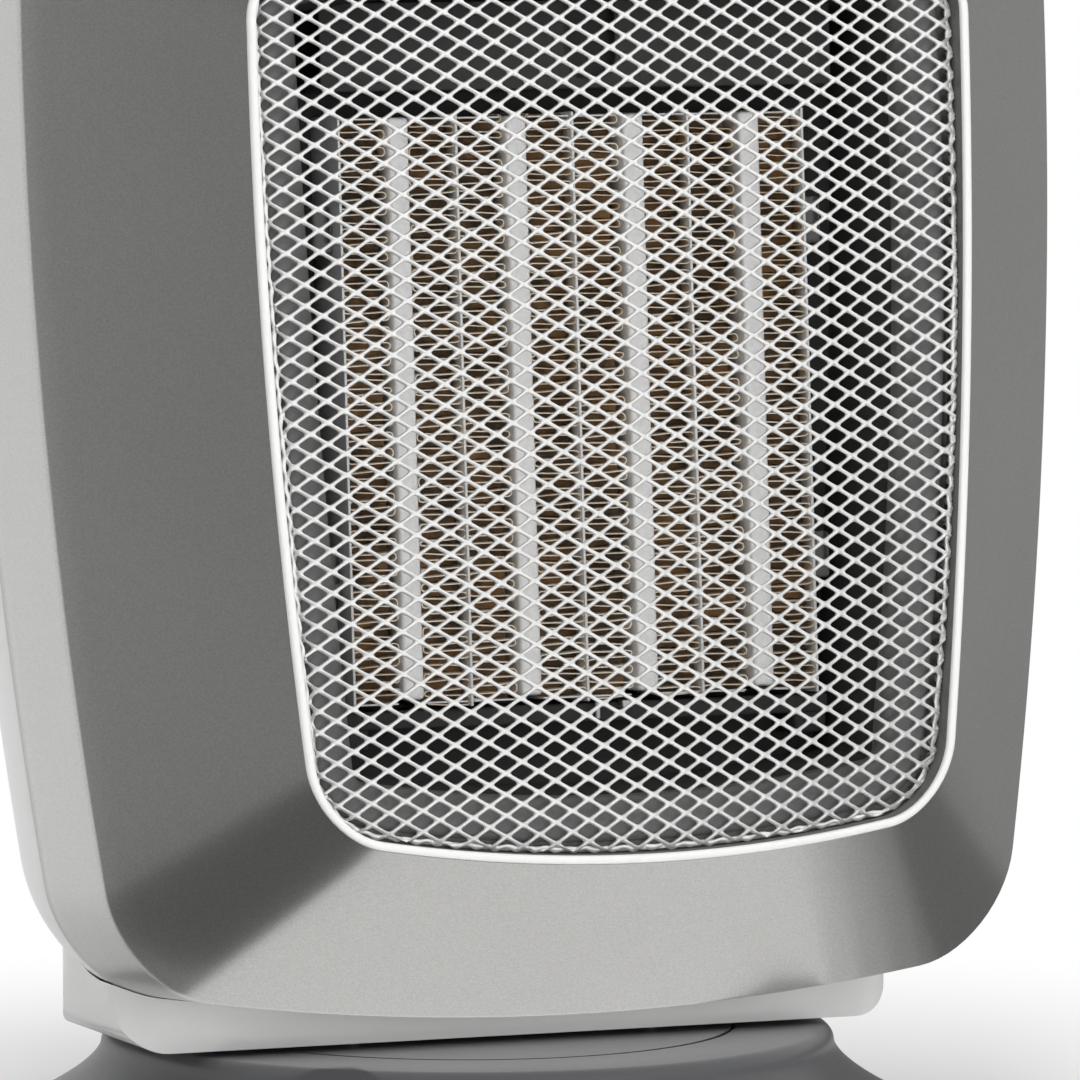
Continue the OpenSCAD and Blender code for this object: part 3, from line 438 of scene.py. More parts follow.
    @staticmethod
    def bevel(piece: Piece, width: float, segments: int = 3, angle: float = 60.0) -> None:
        """Rounds the edges sharper than an angle."""
        Bench.apply(piece, "BEVEL", width=width, segments=segments, limit_method="ANGLE",
                    angle_limit=math.radians(angle), use_clamp_overlap=True)

    @staticmethod
    def row(piece: Piece, count: int, step: Point) -> None:
        """Repeats a piece in a row, merging what touches."""
        Bench.apply(piece, "ARRAY", count=count, use_relative_offset=False, use_constant_offset=True,
                    constant_offset_displace=step, use_merge_vertices=True, merge_threshold=1e-3)

    @staticmethod
    def cut(piece: Piece, cutter: Piece, operation: str = "DIFFERENCE") -> Piece:
        """Cuts one piece with another.

        Args:
            piece: The piece to cut.
            cutter: What it is cut with, which is used up.
            operation: DIFFERENCE, UNION or INTERSECT.

        Returns:
            The piece that was cut.
        """
        Bench.apply(piece, "BOOLEAN", object=cutter, operation=operation, solver="EXACT")
        bpy.data.objects.remove(cutter)
        return piece

    @staticmethod
    def slab(name: str, outline: Ring, front: float, depth: float, lift: float = 0.0) -> Piece:
        """Makes a plate of any outline that stands upright.

        Args:
            name: Name of the piece.
            outline: Points as rows of X and Z.
            front: Y of its front face.
            depth: Its thickness.
            lift: Added to every Z.

        Returns:
            The plate.
        """
        faces = [np.stack([outline[:, 0], np.full(len(outline), y), outline[:, 1] + lift], axis=1)
                 for y in (front, front + depth)]
        return Bench.loft(name, faces, Ends.CAPPED)

    @staticmethod
    def copy(piece: Piece, change: Optional[Matrix] = None) -> Piece:
        """Copies a piece with a mesh of its own, moved by a matrix.

        Args:
            piece: The piece to copy.
            change: What moves the copy, or None to leave it where it is.

        Returns:
            The copy.
        """
        twin = piece.copy()
        twin.data = piece.data.copy()
        if change is not None:
            twin.data.transform(change)
        bpy.context.scene.collection.objects.link(twin)
        return twin

    @staticmethod
    def repeat(name: str, piece: Piece, changes: Sequence[Matrix]) -> Piece:
        """Copies a piece to several places and joins the copies.

        Args:
            name: Name of the joined piece.
            piece: The piece to copy, which is used up.
            changes: One matrix for each place.

        Returns:
            The joined copies.
        """
        made = [Bench.copy(piece, change) for change in changes]
        bpy.data.objects.remove(piece)
        return Bench.join(name, made)

    @staticmethod
    def join(name: str, pieces: Iterable[Piece]) -> Piece:
        """Joins several meshes into one piece.

        Args:
            name: Name of the joined piece.
            pieces: The meshes, which are used up.

        Returns:
            The joined piece.
        """
        made = list(pieces)
        Bench.pick(made[0])
        for piece in made[1:]:
            piece.select_set(True)
        if len(made) > 1:
            bpy.ops.object.join()
        return Bench.adopt(name)


# ---------------------------------------------------------------- finishes


class Nodes:
    """Small helper that lays out and links shader nodes."""

    def __init__(self, tree: bpy.types.NodeTree) -> None:
        """Takes the tree to build in."""
        self.tree = tree

    @classmethod
    def fresh(cls, holder: bpy.types.ID) -> "Nodes":
        """Empties the node tree of a material or world and starts in it."""
        holder.use_nodes = True
        holder.node_tree.nodes.clear()
        return cls(holder.node_tree)

    def feed(self, socket: bpy.types.NodeSocket, value: object) -> None:
        """Sets or links an input.

        Args:
            socket: The input.
            value: Its plain value, or the output that it is linked to.
        """
        if isinstance(value, bpy.types.NodeSocket):
            self.tree.links.new(value, socket)
        else:
            socket.default_value = value

    def add(self, kind: str, *sockets: object, **values: object) -> bpy.types.Node:
        """Adds a shader node, sets its properties and feeds its inputs.

        Args:
            kind: The node's type, without its first word.
            *sockets: Values or outputs for its inputs in their order, None to leave one alone.
            **values: Properties first, then inputs where the key is the input's name in lower case.

        Returns:
            The new node.
        """
        node = self.tree.nodes.new("ShaderNode" + kind)
        for key, value in values.items():
            named = [s for s in node.inputs if s.enabled and s.name.lower().replace(" ", "_") == key]
            if named:
                self.feed(named[0], value)
            else:
                setattr(node, key, value)
        for socket, value in zip(node.inputs, sockets):
            if value is not None:
                self.feed(socket, value)
        return node

    def place(self) -> bpy.types.NodeSocket:
        """Gives the piece's own coordinates."""
        return self.add("TexCoord").outputs["Object"]

    def math(self, operation: str, a: object, b: object) -> bpy.types.NodeSocket:
        """Gives the result of a sum with two terms."""
        return self.add("Math", a, b, operation=operation).outputs[0]

    def toned(self, colour: bpy.types.NodeSocket, mask: bpy.types.NodeSocket, low: object,
              high: object) -> bpy.types.NodeSocket:
        """Scales a colour by a value that follows a mask.

        Args:
            colour: The colour.
            mask: Goes from 0 to 1 over the surface.
            low: The value where the mask is 0.
            high: The value where it is 1.

        Returns:
            The scaled colour.
        """
        tone = self.add("Mix", mask, None, low, high, data_type="FLOAT").outputs[0]
        return self.add("VectorMath", colour, None, None, tone, operation="SCALE").outputs["Vector"]


class Effects:
    """Shader node groups that several finishes share, each built once."""

    made: dict[str, bpy.types.NodeTree] = {}

    @classmethod
    def group(cls, name: str, inputs: dict[str, object], outputs: Sequence[str],
              build: Callable[[Nodes, object], Sequence[bpy.types.NodeSocket]]) -> bpy.types.NodeTree:
        """Builds a group, or finds it where it was built before.

        Args:
            name: Its name.
            inputs: Its inputs with their values at the start.
            outputs: Its outputs; Color is a colour and the others are numbers.
            build: Takes the nodes and the group's inputs and gives what each output shows.

        Returns:
            The group.
        """
        if name in cls.made:
            return cls.made[name]
        cls.made[name] = group = bpy.data.node_groups.new(name, "ShaderNodeTree")
        for way, keys in (("INPUT", inputs), ("OUTPUT", outputs)):
            for key in keys:
                kind = "NodeSocketColor" if key == "Color" else "NodeSocketFloat"
                socket = group.interface.new_socket(name=key, in_out=way, socket_type=kind)
                if way == "INPUT":
                    socket.default_value = inputs[key]
        n = Nodes(group)
        ends = group.nodes.new("NodeGroupInput"), group.nodes.new("NodeGroupOutput")
        for key, socket in zip(outputs, build(n, ends[0].outputs)):
            n.feed(ends[1].inputs[key], socket)
        return group

    @classmethod
    def grain(cls) -> bpy.types.NodeTree:
        """Fine moulded or cast grain: a height and a grey that follows it."""
        def build(n: Nodes, given: object) -> Sequence[bpy.types.NodeSocket]:
            """Mixes a fine and a wide noise."""
            fine = n.add("TexNoise", vector=n.place(), scale=given["Scale"], detail=3.0,
                         roughness=0.6).outputs["Fac"]
            wide = n.add("TexNoise", vector=n.place(), scale=60.0, detail=2.0).outputs["Fac"]
            return fine, n.add("Mix", given["Coarse"], None, fine, wide, data_type="FLOAT").outputs[0]

        return cls.group("moulded_grain", {"Scale": 900.0, "Coarse": 0.3}, ("Height", "Value"), build)

    @classmethod
    def drift(cls) -> bpy.types.NodeTree:
        """Slow change of tone over a surface, with faint handling marks."""
        def build(n: Nodes, given: object) -> Sequence[bpy.types.NodeSocket]:
            """Darkens the colour in soft clouds."""
            cloud = n.add("TexNoise", vector=n.place(), scale=given["Scale"], detail=4.0, roughness=0.55)
            spread = n.add("MapRange", value=cloud.outputs["Fac"], from_min=0.3,
                           from_max=0.7).outputs["Result"]
            return [n.toned(given["Color"], spread, n.math("SUBTRACT", 1.0, given["Amount"]), 1.0)]

        return cls.group("tone_drift", {"Color": (0.5, 0.5, 0.5, 1.0), "Amount": 0.1, "Scale": 18.0},
                         ["Color"], build)

    @classmethod
    def flake(cls) -> bpy.types.NodeTree:
        """Fine metallic flakes: a speckled tone and the height of each flake."""
        def build(n: Nodes, given: object) -> Sequence[bpy.types.NodeSocket]:
            """Gives each small cell a tone and a height of its own."""
            cells = n.add("TexVoronoi", vector=n.place(), scale=n.math("DIVIDE", 1.0, given["Size"]),
                          feature="F1")
            split = n.add("SeparateColor", cells.outputs["Color"]).outputs
            low, high = (n.math(sign, 1.0, given["Sparkle"]) for sign in ("SUBTRACT", "ADD"))
            return n.toned(given["Color"], split[0], low, high), split[1]

        return cls.group("paint_flake", {"Color": (0.5, 0.5, 0.5, 1.0), "Size": 0.0002, "Sparkle": 0.2},
                         ("Color", "Height"), build)


@dataclass(frozen=True)
class Finish:
    """A moulded, cast or metal surface with its own grain and drift of tone; mixed holds those made."""

    name: str
    colour: Colour
    roughness: float = 0.5
    metallic: float = 0.0
    grain_scale: float = 900.0
    grain_depth: float = 0.00002
    grain_strength: float = 0.25
    drift: float = 0.06
    drift_scale: float = 20.0
    rough_spread: float = 0.06
    coat: float = 0.0
    subsurface: float = 0.0
    transmission: float = 0.0
    specular: float = 0.5
    mixed: ClassVar[dict[str, bpy.types.Material]] = {}

    def looks(self, n: Nodes) -> dict[str, bpy.types.NodeSocket]:
        """Gives what changes over the surface.

        Args:
            n: Where its nodes go.

        Returns:
            What feeds the shader's base_color, roughness and normal.
        """
        tone = n.add("Group", node_tree=Effects.drift(), color=(*self.colour, 1.0), amount=self.drift,
                     scale=self.drift_scale)
        grain = n.add("Group", node_tree=Effects.grain(), scale=self.grain_scale).outputs
        rough = n.add("MapRange", value=grain["Value"], to_min=self.roughness - self.rough_spread,
                      to_max=self.roughness + self.rough_spread)
        bump = n.add("Bump", strength=self.grain_strength, distance=self.grain_depth, height=grain["Height"])
        return {"base_color": tone.outputs["Color"], "roughness": rough.outputs["Result"],
                "normal": bump.outputs["Normal"]}

    def material(self) -> bpy.types.Material:
        """Builds the material, or finds it where it was built before.

        Returns:
            The material of this finish.
        """
        if self.name not in Finish.mixed:
            made = bpy.data.materials.get(self.name) or bpy.data.materials.new(self.name)
            Finish.mixed[self.name] = made
            n = Nodes.fresh(made)
            skin = n.add("BsdfPrincipled", metallic=self.metallic, coat_weight=self.coat, coat_roughness=0.1,
                         subsurface_weight=self.subsurface, transmission_weight=self.transmission,
                         specular_ior_level=self.specular, **self.looks(n))
            if self.subsurface:
                skin.inputs["Subsurface Radius"].default_value = (0.002, 0.002, 0.002)
            n.add("OutputMaterial", surface=skin.outputs["BSDF"])
        return Finish.mixed[self.name]

    def dress(self, piece: Piece) -> None:
        """Gives a piece this finish and nothing else."""
        piece.data.materials.clear()
        piece.data.materials.append(self.material())


@dataclass(frozen=True)
class FlakePaint(Finish):
    """Satin paint with fine metal flakes under a thin clear layer."""

    flake_size: float = 0.00022
    sparkle: float = 0.11

    def looks(self, n: Nodes) -> dict[str, bpy.types.NodeSocket]:
        """Adds flakes, whose height takes the grain's place."""
        made = super().looks(n)
        flake = n.add("Group", node_tree=Effects.flake(), color=made["base_color"], size=self.flake_size,
                      sparkle=self.sparkle).outputs
        n.feed(made["normal"].node.inputs["Height"], flake["Height"])
        return made | {"base_color": flake["Color"]}


@dataclass(frozen=True)
class HeatTinted(Finish):
    """Bright thin metal that heat has turned gold and brown in places."""

    tint: Colour = (0.5, 0.36, 0.2)
    patch_scale: float = 26.0

    def looks(self, n: Nodes) -> dict[str, bpy.types.NodeSocket]:
        """Adds patches of heat tint to the plain metal."""
        made = super().looks(n)
        patches = n.add("TexNoise", vector=n.place(), scale=self.patch_scale, detail=5.0, roughness=0.7)
        share = n.add("MapRange", value=patches.outputs["Fac"], from_min=0.42,
                      from_max=0.66).outputs["Result"]
        mix = n.add("Mix", share, *[None] * 5, made["base_color"], (*self.tint, 1.0), data_type="RGBA")
        return made | {"base_color": mix.outputs[2]}


@dataclass(frozen=True)
class Brushed(Finish):
    """Metal with fine drawn lines along one way of the piece."""

    lines: tuple[float, float, float] = (40.0, 40.0, 3000.0)

    def looks(self, n: Nodes) -> dict[str, bpy.types.NodeSocket]:
        """Puts drawn lines in place of the grain's relief."""
        pull = n.add("Mapping", vector=n.place(), scale=self.lines).outputs["Vector"]
        drawn = n.add("TexNoise", vector=pull, scale=1.0, detail=2.0).outputs["Fac"]
        bump = n.add("Bump", strength=0.2, distance=0.00002, height=drawn)
        return super().looks(n) | {"normal": bump.outputs["Normal"]}


class Finishes(Enum):
    """Every finish on the heater, by the record's material slot."""

    silver_paint = FlakePaint("silver_paint", (0.50, 0.496, 0.482), 0.31, 1.0, drift=0.03, rough_spread=0.03,
                              grain_depth=0.00001, grain_strength=0.08)
    white_gloss = Finish("white_gloss", (0.84, 0.84, 0.83), 0.32, grain_depth=0.000006, drift=0.02, coat=0.15,
                         subsurface=0.04)
    white_satin = Finish("white_satin", (0.8, 0.8, 0.79), 0.42, drift=0.03, subsurface=0.03)
    mesh_steel = Finish("mesh_steel", (0.91, 0.91, 0.895), 0.34, 0.6, drift=0.05, drift_scale=60.0)
    charcoal_plastic = Finish("charcoal_plastic", (0.022, 0.022, 0.024), 0.55, drift=0.1)
    duct_grey = Finish("duct_grey", (0.158, 0.158, 0.158), 0.5, drift=0.12, specular=0.3)
    tube_aluminium = Brushed("tube_aluminium", (0.94, 0.94, 0.94), 0.5, 0.15, drift=0.12, drift_scale=900.0,
                             lines=(3000.0, 3000.0, 30.0))
    fin_aluminium = HeatTinted("fin_aluminium", (0.93, 0.86, 0.75), 0.4, 0.25, drift=0.08)
    plate_steel = Brushed("plate_steel", (0.86, 0.87, 0.87), 0.42, 0.3)
    terminal_brass = Finish("terminal_brass", (0.72, 0.52, 0.2), 0.3, 1.0)
    control_metal = Brushed("control_metal", (0.68, 0.68, 0.7), 0.35, 0.9)
    ceramic_body = Finish("ceramic_body", (0.78, 0.74, 0.64), 0.6, grain_scale=1400.0)
    lamination_steel = Brushed("lamination_steel", (0.36, 0.37, 0.39), 0.45, 0.8, lines=(30.0, 2600.0, 30.0))
    copper_winding = Brushed("copper_winding", (0.55, 0.2, 0.07), 0.35, 0.6, lines=(30.0, 30.0, 2400.0))
    bronze_bush = Finish("bronze_bush", (0.5, 0.33, 0.15), 0.45, 0.9)
    plated_steel = Brushed("plated_steel", (0.62, 0.63, 0.65), 0.3, 0.95)
    filter_foam = Finish("filter_foam", (0.03, 0.03, 0.03), 0.9, grain_scale=500.0, grain_depth=0.0008,
                         grain_strength=0.8)
    nylon_natural = Finish("nylon_natural", (0.8, 0.77, 0.66), 0.45, subsurface=0.05)
    phenolic_brown = Finish("phenolic_brown", (0.14, 0.08, 0.045), 0.4)
    lamp_glass = Finish("lamp_glass", (0.95, 0.7, 0.5), 0.08, transmission=0.8)
    lens_red = Finish("lens_red", (0.6, 0.03, 0.01), 0.12, transmission=0.35, coat=0.3)
    base_grey = Finish("base_grey", (0.075, 0.076, 0.08), 0.42, drift=0.06, grain_depth=0.00003)
    weight_iron = Finish("weight_iron", (0.05, 0.05, 0.05), 0.6, 0.4, grain_scale=300.0, grain_depth=0.0002)
    foot_rubber = Finish("foot_rubber", (0.018, 0.018, 0.018), 0.8, grain_scale=1200.0, grain_depth=0.00006)
    grommet_plastic = Finish("grommet_plastic", (0.02, 0.02, 0.021), 0.6)
    plunger_red = Finish("plunger_red", (0.5, 0.03, 0.02), 0.4)


WELL_BLACK = Finish("well_black", (0.05, 0.05, 0.05), 0.75, drift=0.2, specular=0.12)
PACKING_GREY = Finish("packing_grey", (0.15, 0.15, 0.145), 0.7, drift=0.3, drift_scale=300.0, specular=0.2)
# Painted shade: a dark brown that stands in for the dim, brown bounce light deep in the fin gaps. Its tint
# patches vary that tone at random.
GAP_PAINTED_SHADE = HeatTinted("louvre_brown", (0.085, 0.06, 0.036), 0.6, 0.1, drift=0.4, drift_scale=200.0,
                          tint=(0.34, 0.19, 0.08), patch_scale=70.0)
HOLDER_GREY = Finish("holder_grey", (0.06, 0.06, 0.06), 0.7, drift=0.15, drift_scale=400.0, specular=0.2)


def hand_over(piece: Piece, slot: str, nodes: Sequence[str] = (), body: str = "head",
              finish: Optional[Finish] = None, place: Optional[Matrix] = None, smooth: float = 40.0) -> None:
    """Applies a piece's place, smooths and dresses it, and gives it to the body it moves with.

    Args:
        piece: The finished mesh.
        slot: The record's material slot.
        nodes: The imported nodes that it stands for.
        body: The body it rides on.
        finish: Its finish, where that isn't the slot's own.
        place: What carries it to the frame, or None for head millimetres.
        smooth: Edges flatter than this angle are shaded smooth.
    """
    Bench.pick(piece)
    piece.matrix_world = HEAD.matrix() if place is None else place
    bpy.ops.object.transform_apply(location=True, rotation=True, scale=True)
    bpy.ops.object.shade_smooth_by_angle(angle=math.radians(smooth))
    (finish or Finishes[slot].value).dress(piece)
    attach(piece, body)
    if nodes:
        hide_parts(*nodes)
    LOG.info("%s rides on %s, %d triangles", piece.name, body,
             sum(len(p.vertices) - 2 for p in piece.data.polygons))


# ---------------------------------------------------------------- front: bezel, ring and mesh


@dataclass
class Front:
    """The silver bezel, the white trim ring and the expanded sheet behind it."""

    wall: float = 2.4
    crease_round: float = 1.0
    lip_inset: float = -0.06
    lip_y: float = 0.9
    ring_w: float = 1.8
    ring_d: float = 10.0
    sheet_y: float = -94.6
    sheet_plan_r: float = 900.0
    sheet_side_r: float = 1300.0
    sheet_shift: tuple[float, float] = (0.6, -0.35)
    sheet_spare: float = 16.0
    fold_r: float = 0.6
    fold_reach: float = 3.4
    hem_r: float = 0.5
    hem_inset: float = 3.0
    lwd: float = 7.02
    swd: float = 4.195
    strand: float = 0.7
    sheet_t: float = 0.8
    row_turn: float = 1.42
    column_turn: float = 0.64
    bond: tuple[float, float] = (0.22, 0.78)

    def bezel(self) -> None:
        """Lofts the bezel from its lip over the crease and back inside."""
        h = HEAD
        front, = h.opened([(self.lip_inset, self.lip_y)], h.crown_r)
        crease, = h.creased([(0, h.crease_y)])
        slope = (crease - front) / np.linalg.norm(crease - front, axis=1)[:, None]
        before, after = crease - slope * self.crease_round, crease + np.array([0.0, self.crease_round, 0.0])
        face = [front + (before - front) * k / 10 for k in range(11)]
        rim = h.creased((i, h.band_y - b) for i, b in ((0, 6), (0, 0.5), (0.15, 0.15), (0.5, 0)))
        drop = h.crease_y - h.ring_y
        shift = self.wall * math.hypot(h.crease.half_w - h.opening.half_w, drop) / drop
        inside = (h.creased([(self.wall, h.band_y), (self.wall, h.crease_y + shift)])
                  + h.opened([(self.lip_inset, self.lip_y + shift)], h.crown_r))
        rings = face + bend_between(before, crease, after, 6)[1:] + rim + inside
        hand_over(Bench.loft("bezel_moulding", rings), "silver_paint", ["bezel"])

    def trim_ring(self) -> None:
        """Lofts the white ring with a softly rounded nose."""
        nose = ((0.0, 1.4), (0.01, 0.4), (0.1, 0.02), (0.35, -0.22), (0.9, -0.3), (1.45, -0.22), (1.7, 0.02),
                (1.79, 0.4), (1.8, 1.6))
        rings = (HEAD.opened([(0, self.ring_d)]) + HEAD.opened(nose, HEAD.crown_r)
                 + HEAD.opened([(self.ring_w, self.ring_d)]))
        hand_over(Bench.loft("white_trim_ring", rings), "white_gloss", ["trim_ring"], smooth=60)

    def cell(self) -> Piece:
        """Models one diamond opening with half of each strand round it, then its staggered neighbour."""
        corners = ((0.0, 1.0), (-1.0, 0.0), (0.0, -1.0), (1.0, 0.0))

        def diamond(tip_z: float, tip_x: float, size: Point) -> Ring:
            """Walks round a diamond, whose tips are drawn in to a share, with three points to a side."""
            walk = []
            for (x0, z0), (x1, z1) in zip(corners, corners[1:] + corners[:1]):
                tip = tip_z if z0 else tip_x
                walk.append((x0 * tip, z0 * tip))
                walk += [(x0 + (x1 - x0) * t, z0 + (z1 - z0) * t) for t in self.bond]
            return np.array(walk) * size

        half, tilt = self.strand / 2, math.atan2(self.swd, self.lwd)
        outer = diamond(1.0, 1.0, (self.lwd / 2, self.swd / 2))
        eye = diamond(0.92, 0.87, (self.lwd / 2 - half / math.sin(tilt),
                                   self.swd / 2 - half / math.cos(tilt)))
        rise = -0.35 * (eye[:, 1] - outer[:, 1])
        rings = []
        for share, depth in ((0, 0.0), (0.62, 0.05), (1, 0.3), (1, self.sheet_t), (0, self.sheet_t)):
            p = outer + (eye - outer) * share
            rings.append(np.stack([p[:, 0], depth + rise * share, p[:, 1]], axis=1))
        cell = Bench.loft("sheet_cell", rings, Ends.OPEN)
        return Bench.join("sheet_cell",
                          [cell, Bench.copy(cell, Matrix.Translation((self.lwd / 2, 0, self.swd / 2)))])

    def sheet(self) -> None:
        """Repeats the cell over the opening, crowns the sheet and folds its edges back."""
        h = HEAD
        across = math.ceil((2 * h.opening.half_w + self.sheet_spare) / self.lwd)
        up = math.ceil((2 * h.opening.half_h + self.sheet_spare) / self.swd)
        sheet = self.cell()
        Bench.row(sheet, across, (self.lwd, 0, 0))
        Bench.row(sheet, up, (0, 0, self.swd))
        sheet.name = "expanded_sheet"
        co = np.empty(len(sheet.data.vertices) * 3)
        sheet.data.vertices.foreach_get("co", co)
        co = co.reshape(-1, 3) - (self.lwd * across / 2, 0, self.swd * up / 2)
        rows, columns = math.radians(self.row_turn), math.radians(self.column_turn)
        flat = np.stack([co[:, 0] * math.cos(rows) - co[:, 2] * math.sin(columns),
                         co[:, 0] * math.sin(rows) + co[:, 2] * math.cos(columns)], axis=1)
        over, nearest, outward = self.beyond(
            flat, h.opening.points(self.ring_w + 0.9, 20, 60) + self.sheet_shift)
        sheet.data.vertices.foreach_set("co", self.folded(co[:, 1], flat, over, nearest, outward).ravel())
        Bench.pick(sheet)
        for v in Bench.edit(action="DESELECT").verts:
            v.select_set(bool(over[v.index] > self.fold_reach))
        bpy.ops.mesh.delete(type="VERT")
        Bench.close(1e-3)
        hand_over(sheet, "mesh_steel", ["grille_mesh"], smooth=50)

    @staticmethod
    def beyond(p: Ring, line: Ring) -> tuple[np.ndarray, Ring, Ring]:
        """Measures how far points lie outside a closed line.

        Args:
            p: The points as rows of X and Z.
            line: The closed line.

        Returns:
            The signed distance, the nearest point of the line and the outward way there.
        """
        best = np.full(len(p), 1e9)
        foot, way = np.zeros_like(p), np.zeros_like(p)
        for start, step in zip(line, np.roll(line, -1, axis=0) - line):
            length = step @ step
            if length < 1e-9:
                continue
            t = np.clip((p - start) @ step / length, 0, 1)
            q = start + t[:, None] * step
            gap = np.linalg.norm(p - q, axis=1)
            near = gap < best
            best[near], foot[near] = gap[near], q[near]
            way[near] = np.array([step[1], -step[0]]) / math.sqrt(length)
        return best * np.sign(np.einsum("ij,ij->i", p - foot, way)), foot, way

    def crowned(self, line: Ring, depth: np.ndarray | float) -> Ring:
        """Lays points on the crowned sheet.

        Args:
            line: The points as rows of X and Z, from the opening's middle.
            depth: How far behind the sheet's face they lie.

        Returns:
            The points in the head's frame.
        """
        x, z = line[:, 0], line[:, 1]
        y = self.sheet_y + depth + x ** 2 / (2 * self.sheet_plan_r) + z ** 2 / (2 * self.sheet_side_r)
        return np.stack([x, y, z + HEAD.grille_z], axis=1)

    def folded(self, depth: np.ndarray, flat: Ring, over: np.ndarray, foot: Ring, way: Ring) -> Ring:
        """Crowns the sheet and turns what lies beyond the fold line back into the frame.

        Args:
            depth: Depth of each point in the flat sheet.
            flat: X and Z of each point.
            over: Signed distance beyond the fold line.
            foot: Nearest point of the fold line.
            way: Outward way there.

        Returns:
            The points in the head's frame.
        """
        radius = self.fold_r
        turned = np.clip((over + radius) / radius, 0, math.pi / 2)
        bend = over > -radius
        run = radius * np.sin(turned) - depth * np.sin(turned)
        back = radius * (1 - np.cos(turned)) + np.maximum(over + radius - radius * math.pi / 2, 0)
        line = np.where(bend[:, None], foot - way * radius + way * run[:, None], flat)
        return self.crowned(line, np.where(bend, depth * np.cos(turned) + back, depth))

    def lip(self) -> None:
        """Lofts the grey lip close behind the sheet and the packing strip in the gap round it."""
        face = ((3.7, 4.6), (4.0, 3.2), (4.6, 2.5), (5.4, 2.2), (7.5, 2.3),
                (9.8, 2.9), (11.6, 3.9), (12.7, 5.2), (13.2, 6.9), (13.4, 9.0))
        back = ((12.2, 9.0), (11.8, 6.6), (9.5, 4.9), (5.0, 4.6), (3.8, 5.4))
        lip = Bench.loft("funnel_lip",
                         [self.crowned(HEAD.opening.points(inset), y) for inset, y in face + back])
        hand_over(lip, "duct_grey", ["heater_frame"], smooth=50)
        strip = ((1.81, 0.8), (1.95, 1.0), (1.95, 7.2), (4.2, 7.4), (4.2, 8.4), (1.81, 8.4))
        hand_over(Bench.loft("packing_strip", HEAD.opened(strip, HEAD.crown_r)), "charcoal_plastic",
                  ["mesh_retainer"], finish=PACKING_GREY)

    def hem(self) -> None:
        """Lofts the flat wavy edge where the sheet's cut strands are pressed together."""
        line, inner = (HEAD.opening.points(inset, 40, 160) for inset in (self.hem_inset, self.hem_inset + 1))
        way = (line - inner) / np.linalg.norm(line - inner, axis=1)[:, None]
        run = np.concatenate([[0.0], np.cumsum(np.linalg.norm(np.diff(line, axis=0), axis=1))]) * 2 * math.pi
        wave = 0.2 * np.sin(run / self.swd) + 0.1 * np.sin(run / 7.9 + 1.0)
        width = self.hem_r * (1 + 0.25 * np.sin(run / self.swd + 0.6))
        rings = [self.crowned(line + way * (wave + width * math.cos(a))[:, None] + (0.1, -0.1),
                              0.75 + 0.28 * math.sin(a) + 0.18 * np.sin(run / 5.1))
                 for a in (k * math.pi / 4 for k in range(8))]
        hand_over(Bench.loft("sheet_hem", rings), "mesh_steel")

    def build(self) -> None:
        """Makes the bezel, the ring, the sheet and what holds it."""
        for step in (self.bezel, self.trim_ring, self.sheet, self.hem, self.lip):
            step()


# ---------------------------------------------------------------- heating core


